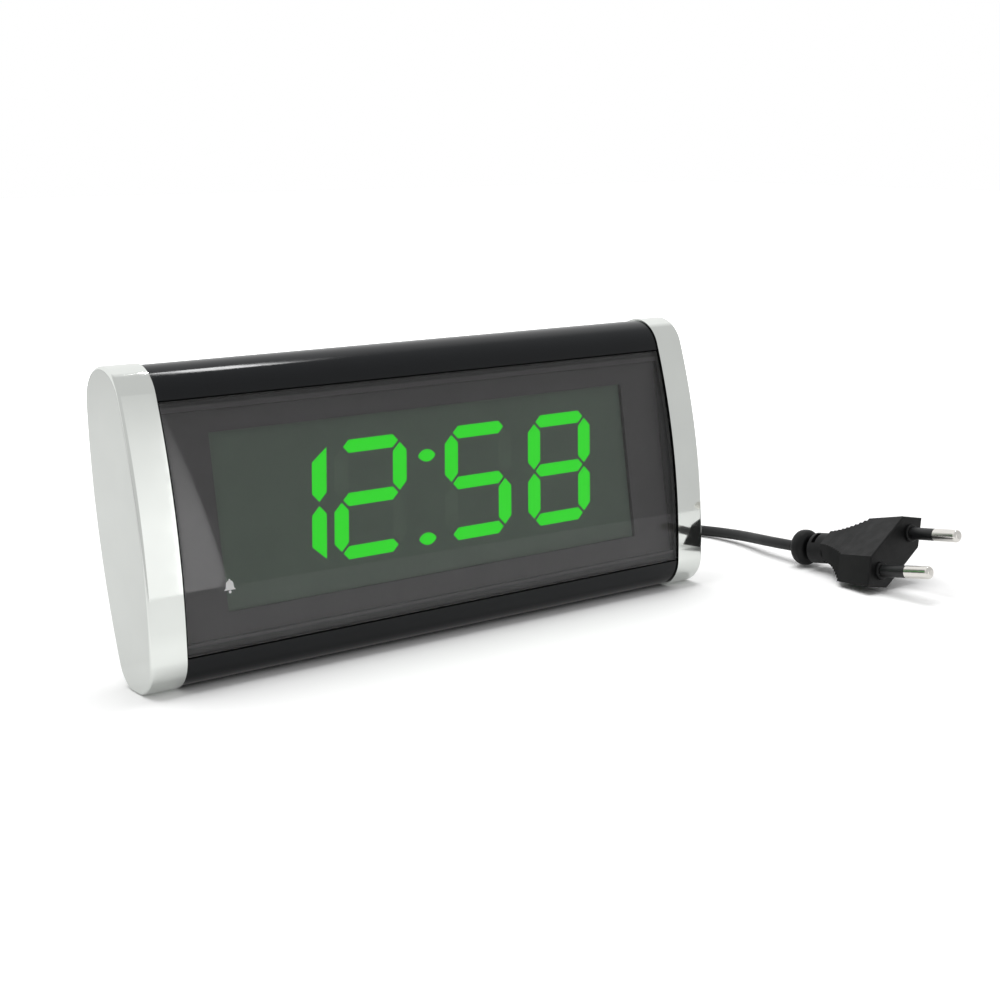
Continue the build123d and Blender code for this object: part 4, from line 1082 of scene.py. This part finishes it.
class CLOCK_OT_lens(bpy.types.Operator):
    """Bend the smoked lens"""

    bl_idname = "clock.lens"
    bl_label = "Smoked lens"

    def execute(self, context):
        size = sizes()
        bow = front_bow(size)
        axis = Vector((0.0, bow.x, bow.y))
        foot = math.asin((bow.y - lens_low.z) / size.lens_outer)
        rise = math.asin((lens_high.z - bow.y) / size.lens_outer)
        bm = bmesh.new()
        ring = []
        for x, radius in (
            (lens_low.x, size.lens_outer),
            (lens_high.x, size.lens_outer),
            (lens_high.x, size.lens_outer - size.lens_thickness),
            (lens_low.x, size.lens_outer - size.lens_thickness),
        ):
            spot = Vector((x, -radius * math.cos(foot), -radius * math.sin(foot)))
            ring.append(bm.verts.new(axis + spot))
        bmesh.ops.spin(
            bm,
            geom=[bm.faces.new(ring)],
            cent=axis,
            axis=(1.0, 0.0, 0.0),
            angle=-(foot + rise),
            steps=LENS_STEPS,
        )
        bmesh.ops.remove_doubles(bm, verts=bm.verts, dist=WELD)
        bmesh.ops.recalc_face_normals(bm, faces=bm.faces)
        keen = [e for e in bm.edges if e.is_manifold and e.calc_face_angle() > LENS_CORNER]
        round_edges(bm, keen, size.lens_edge, 2)
        shade_smooth(bm, LENS_ANGLE)
        smoke = smoked("lens_smoke", colours().lens)
        sheet = finish_piece(bm, "bent_lens", "clock", smoke, "smoked_lens", "lens")
        sheet.data.materials.append(blackened_edge_and_gap_shade("lens_cut_edge"))
        for face in sheet.data.polygons:
            out = Vector((face.center.y - bow.x, face.center.z - bow.y)).normalized()
            if abs(face.normal.y * out.x + face.normal.z * out.y) < LENS_FACING:
                face.material_index = 1
        return {"FINISHED"}


class CLOCK_OT_display(bpy.types.Operator):
    """Finish the mask, the display face and its segments, and print the bell"""

    bl_idname = "clock.display"
    bl_label = "Display"

    def execute(self, context):
        mask = moulded(
            "mask_card",
            colours().mask,
            rough=(0.5, 0.62),
            grain=1100.0,
            depth=0.000004,
            spread=0.05,
        )
        window = moulded(
            "window_face",
            colours().window,
            rough=(0.4, 0.5),
            grain=900.0,
            depth=0.000004,
            spread=0.04,
        )
        dim = moulded(
            "dim_segment",
            tone(colours().window, 1.08)[:3],
            rough=(0.36, 0.44),
            grain=900.0,
            depth=0.00002,
        )
        lit = glowing("lit_segment", colours().lit)
        card = merged_copy("display_mask", "mask_frame", "clock", mask, "mask_black")
        # The cut edge of the window gets painted shade.
        self.paint_window_gap_shade(card)
        merged_copy("display_block", "display_face", "clock", window, "display_grey")
        merged_copy("unlit_segments", "dim_bars", "clock", dim, "segment_off")
        merged_copy("lit_segments", "lit_bars", "clock", lit, "segment_on")
        self.print_bell()
        return {"FINISHED"}

    def paint_window_gap_shade(self, card):
        """Painted shade: the cut edge of the mask's window is coloured dark so that the shaded gap
        before the display face reads as a dark line.
        """
        lean = sizes().display_lean
        facing = Vector((0.0, -math.cos(lean), math.sin(lean)))
        card.data.materials.append(blackened_edge_and_gap_shade("mask_window_painted_shade"))
        low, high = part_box("display_mask")
        width = MASK_WIDTH * (0.5 * (high.x - low.x))
        height = MASK_HEIGHT * (0.5 * (high.z - low.z))
        for face in card.data.polygons:
            spot = face.center - 0.5 * (low + high)
            inside = abs(spot.x) < width and abs(spot.z) < height
            if inside and abs(face.normal.dot(facing)) < MASK_FACING:
                face.material_index = 1

    def print_bell(self):
        """A small bell for the alarm, printed on the face of the lens."""
        size = sizes()
        bow = front_bow(size)
        across, height = size.mark_place
        lean = math.asin((height - bow.y) / size.lens_outer)
        place = Matrix.Translation((across, bow.x - size.lens_outer * math.cos(lean), height))
        bm = bmesh.new()
        draw_bell(bm)
        print_sheet(bm, "bell_mark", place @ Matrix.Rotation(math.pi / 2.0 - lean, 4, "X"))


class CLOCK_OT_controls(bpy.types.Operator):
    """Finish the set buttons and the slide knob, and print the marks over the buttons"""

    bl_idname = "clock.controls"
    bl_label = "Rear controls"

    def execute(self, context):
        satin = moulded(
            "button_satin",
            colours().button,
            rough=(0.36, 0.46),
            grain=1200.0,
            depth=0.00004,
        )
        merged_copy("time_button", "time_key", "time_set", satin, "button_grey")
        merged_copy("alarm_button", "alarm_key", "alarm_set", satin, "button_grey")
        merged_copy("hour_button", "hour_key", "hour_set", satin, "button_grey")
        merged_copy("minute_button", "minute_key", "minute_set", satin, "button_grey")
        merged_copy("alarm_slider", "alarm_knob", "alarm_slide", satin, "button_grey")
        self.print_mark("dial_mark", "time_button", draw_dial)
        self.print_mark("set_bell_mark", "alarm_button", draw_bell)
        self.print_mark("hour_mark", "hour_button", draw_arrow)
        self.print_mark("minute_mark", "minute_button", draw_pair)
        return {"FINISHED"}

    def print_mark(self, name, node, draw):
        """A mark on the rear cover over the middle of one button."""
        size = sizes()
        low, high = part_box(node)
        bow = back_bow(size)
        skin = size.back_radius - size.back_inset
        rise = high.z + size.mark_lift
        lean = math.asin((rise - bow.y) / skin)
        place = Matrix.Translation((0.5 * (low.x + high.x), bow.x + skin * math.cos(lean), rise))
        half_turn = Matrix.Rotation(math.pi, 4, "Z")
        upright = Matrix.Rotation(math.pi / 2.0 - lean, 4, "X")
        bm = bmesh.new()
        draw(bm)
        print_sheet(bm, name, place @ half_turn @ upright)


class CLOCK_OT_works(bpy.types.Operator):
    """Finish the board, its parts, the transformer and the battery"""

    bl_idname = "clock.works"
    bl_label = "Works"

    def execute(self, context):
        board = moulded(
            "board_laminate",
            (0.42, 0.30, 0.14),
            rough=(0.4, 0.5),
            grain=500.0,
            depth=0.00003,
            spread=0.2,
        )
        black = moulded(
            "component_case",
            (0.03, 0.03, 0.033),
            rough=(0.4, 0.5),
            grain=1500.0,
            depth=0.00004,
        )
        sleeve = moulded(
            "capacitor_wrap",
            (0.03, 0.05, 0.16),
            rough=(0.22, 0.3),
            grain=400.0,
            depth=0.00001,
        )
        core = layered(
            "core_laminations",
            (0.32, 0.32, 0.33),
            rough=(0.35, 0.5),
            direction="Y",
            pitch=0.0005,
            depth=0.00006,
            metallic=0.9,
        )
        bobbin = moulded(
            "bobbin_nylon",
            (0.72, 0.71, 0.66),
            rough=(0.4, 0.5),
            grain=600.0,
            depth=0.00002,
            spread=0.04,
        )
        winding = layered(
            "winding_wire",
            (0.62, 0.30, 0.10),
            rough=(0.25, 0.4),
            direction="Z",
            pitch=0.0006,
            depth=0.0001,
            metallic=0.5,
        )
        cell = plated("battery_foil", (0.36, 0.38, 0.42), rough=(0.3, 0.42), wave_depth=0.00006)
        dress("main_board", board)
        for node in ("clock_chip", "set_switches", "snooze_switch", "alarm_switch", "buzzer"):
            dress(node, black)
        dress("smoothing_capacitor", sleeve)
        dress("transformer_core", core)
        dress("transformer_bobbin", bobbin)
        dress("transformer_winding", winding)
        merged_copy("backup_battery", "square_battery", "clock", cell, "battery_case")
        dress("battery_snap", black)
        return {"FINISHED"}


class CLOCK_OT_stage(bpy.types.Operator):
    """Set the table, the lamps, the surroundings and the camera"""

    bl_idname = "clock.stage"
    bl_label = "Stage"

    def execute(self, context):
        scene = context.scene
        scene.view_settings.view_transform = "Standard"
        self.lay_table(scene)
        sky = self.hang_lamp(
            scene,
            "sky_panel",
            place=(-0.1, 0.22, 1.0),
            aim=(-0.1, 0.22, 0.0),
            size=(0.9, 0.6),
            power=7.5,
        )
        sky.visible_glossy = False
        self.hang_lamp(
            scene,
            "key_panel",
            place=(0.345, 0.10, 0.85),
            aim=(0.0, 0.0, 0.04),
            size=(0.16, 0.075),
            power=0.85,
        )
        self.stand_card()
        self.paint_surroundings(scene)
        self.set_camera(scene)
        return {"FINISHED"}

    def lay_table(self, scene):
        """A white table that ends in front of the clock."""
        settings = scene.clock_stage
        turn = settings.table_turn
        bm = bmesh.new()
        bmesh.ops.create_grid(bm, x_segments=2, y_segments=2, size=TABLE_HALF)
        cut_away(
            bm,
            (0.0, -settings.table_front, 0.0),
            (math.sin(turn), -math.cos(turn), 0.0),
            clear_outer=True,
        )
        table = put_in_scene(bm, "table_top", table_finish())

    def hold(self, scene, data, place, aim):
        """Stands a lamp or the camera at a place and points it at another."""
        holder = bpy.data.objects.new(data.name, data)
        holder.location = place
        toward = Vector(aim) - Vector(place)
        holder.rotation_euler = toward.to_track_quat("-Z", "Y").to_euler()
        scene.collection.objects.link(holder)
        return holder

    def hang_lamp(self, scene, name, place, aim, size, power):
        lamp = bpy.data.lights.new(name, "AREA")
        lamp.shape = "RECTANGLE"
        lamp.size, lamp.size_y = size
        lamp.energy = power
        return self.hold(scene, lamp, place, aim)

    def stand_card(self):
        """A tall card that the left cap mirrors, with a brighter strip for the lens's end."""
        bm = bmesh.new()
        bmesh.ops.create_grid(bm, x_segments=1, y_segments=1, size=0.5)
        bmesh.ops.scale(bm, vec=CARD_SIZE, verts=bm.verts)
        upright = Matrix.Rotation(math.pi / 2.0, 3, "X")
        bmesh.ops.rotate(bm, cent=(0.0, 0.0, 0.0), matrix=upright, verts=bm.verts)
        bmesh.ops.translate(bm, vec=CARD_PLACE, verts=bm.verts)
        card = put_in_scene(bm, "window_card", card_finish())
        card.visible_camera = False
        card.visible_diffuse = False

    def paint_surroundings(self, scene):
        """White for the camera, a dome for the light, and a greyer front for polished pieces."""
        room = Finish(bpy.data.worlds.new("white_room"))
        axes = room.axes()
        path = room.add("ShaderNodeLightPath")
        plain = room.nodes["Background"]
        dome = room.spread(axes["Z"], *DOME_RISE, *DOME_LIGHT)
        room.fill(plain, {"Color": WHITE, "Strength": dome})
        sweep = room.spread(axes["Y"], *SWEEP_TURN, *SWEEP_LIGHT)
        level = room.add(
            "ShaderNodeMix",
            {"Factor": path["Is Glossy Ray"], "A": 1.0, "B": sweep},
            data_type="FLOAT",
        )["Result"]
        shown = room.add("ShaderNodeBackground", {"Color": WHITE, "Strength": level})["Background"]
        seen = room.calculate("MAXIMUM", path["Is Camera Ray"], path["Is Glossy Ray"])
        through = room.calculate("MAXIMUM", seen, path["Is Transmission Ray"])
        room.show("World Output", room.mix(through, plain.outputs["Background"], shown))
        scene.world = room.owner

    def set_camera(self, scene):
        settings = scene.clock_stage
        camera = bpy.data.cameras.new("photo_camera")
        camera.sensor_width = 36.0
        camera.lens = settings.focal_length
        camera.clip_start = 0.01
        scene.camera = self.hold(scene, camera, settings.eye, settings.target)


class CLOCK_PT_panel(bpy.types.Panel):
    """Sidebar list of the clock's pieces and of what a user can change"""

    bl_label = "Desk clock"
    bl_idname = "CLOCK_PT_panel"
    bl_space_type = "VIEW_3D"
    bl_region_type = "UI"
    bl_category = "Clock"

    def draw(self, context):
        scene = context.scene
        for operator in OPERATORS:
            self.layout.operator(operator.bl_idname)
        settings = (scene.clock_sizes, scene.clock_colours, scene.clock_stage)
        for group, values in zip(GROUPS, settings):
            box = self.layout.box()
            for name in group.__annotations__:
                box.prop(values, name)


OPERATORS = (
    CLOCK_OT_stage,
    CLOCK_OT_cord,
    CLOCK_OT_end_caps,
    CLOCK_OT_case,
    CLOCK_OT_lens,
    CLOCK_OT_display,
    CLOCK_OT_controls,
    CLOCK_OT_works,
)
GROUPS = (ClockSizes, ClockColours, StageSettings)


def register():
    for group in GROUPS + OPERATORS + (CLOCK_PT_panel,):
        bpy.utils.register_class(group)
    bpy.types.Scene.clock_sizes = PointerProperty(type=ClockSizes)
    bpy.types.Scene.clock_colours = PointerProperty(type=ClockColours)
    bpy.types.Scene.clock_stage = PointerProperty(type=StageSettings)


def unregister():
    del bpy.types.Scene.clock_stage
    del bpy.types.Scene.clock_colours
    del bpy.types.Scene.clock_sizes
    for group in reversed(GROUPS + OPERATORS + (CLOCK_PT_panel,)):
        bpy.utils.unregister_class(group)


def main():
    register()
    bpy.ops.clock.stage()
    bpy.ops.clock.cord()
    bpy.ops.clock.end_caps()
    bpy.ops.clock.case()
    bpy.ops.clock.lens()
    bpy.ops.clock.display()
    bpy.ops.clock.controls()
    bpy.ops.clock.works()


if __name__ == "__main__":
    main()
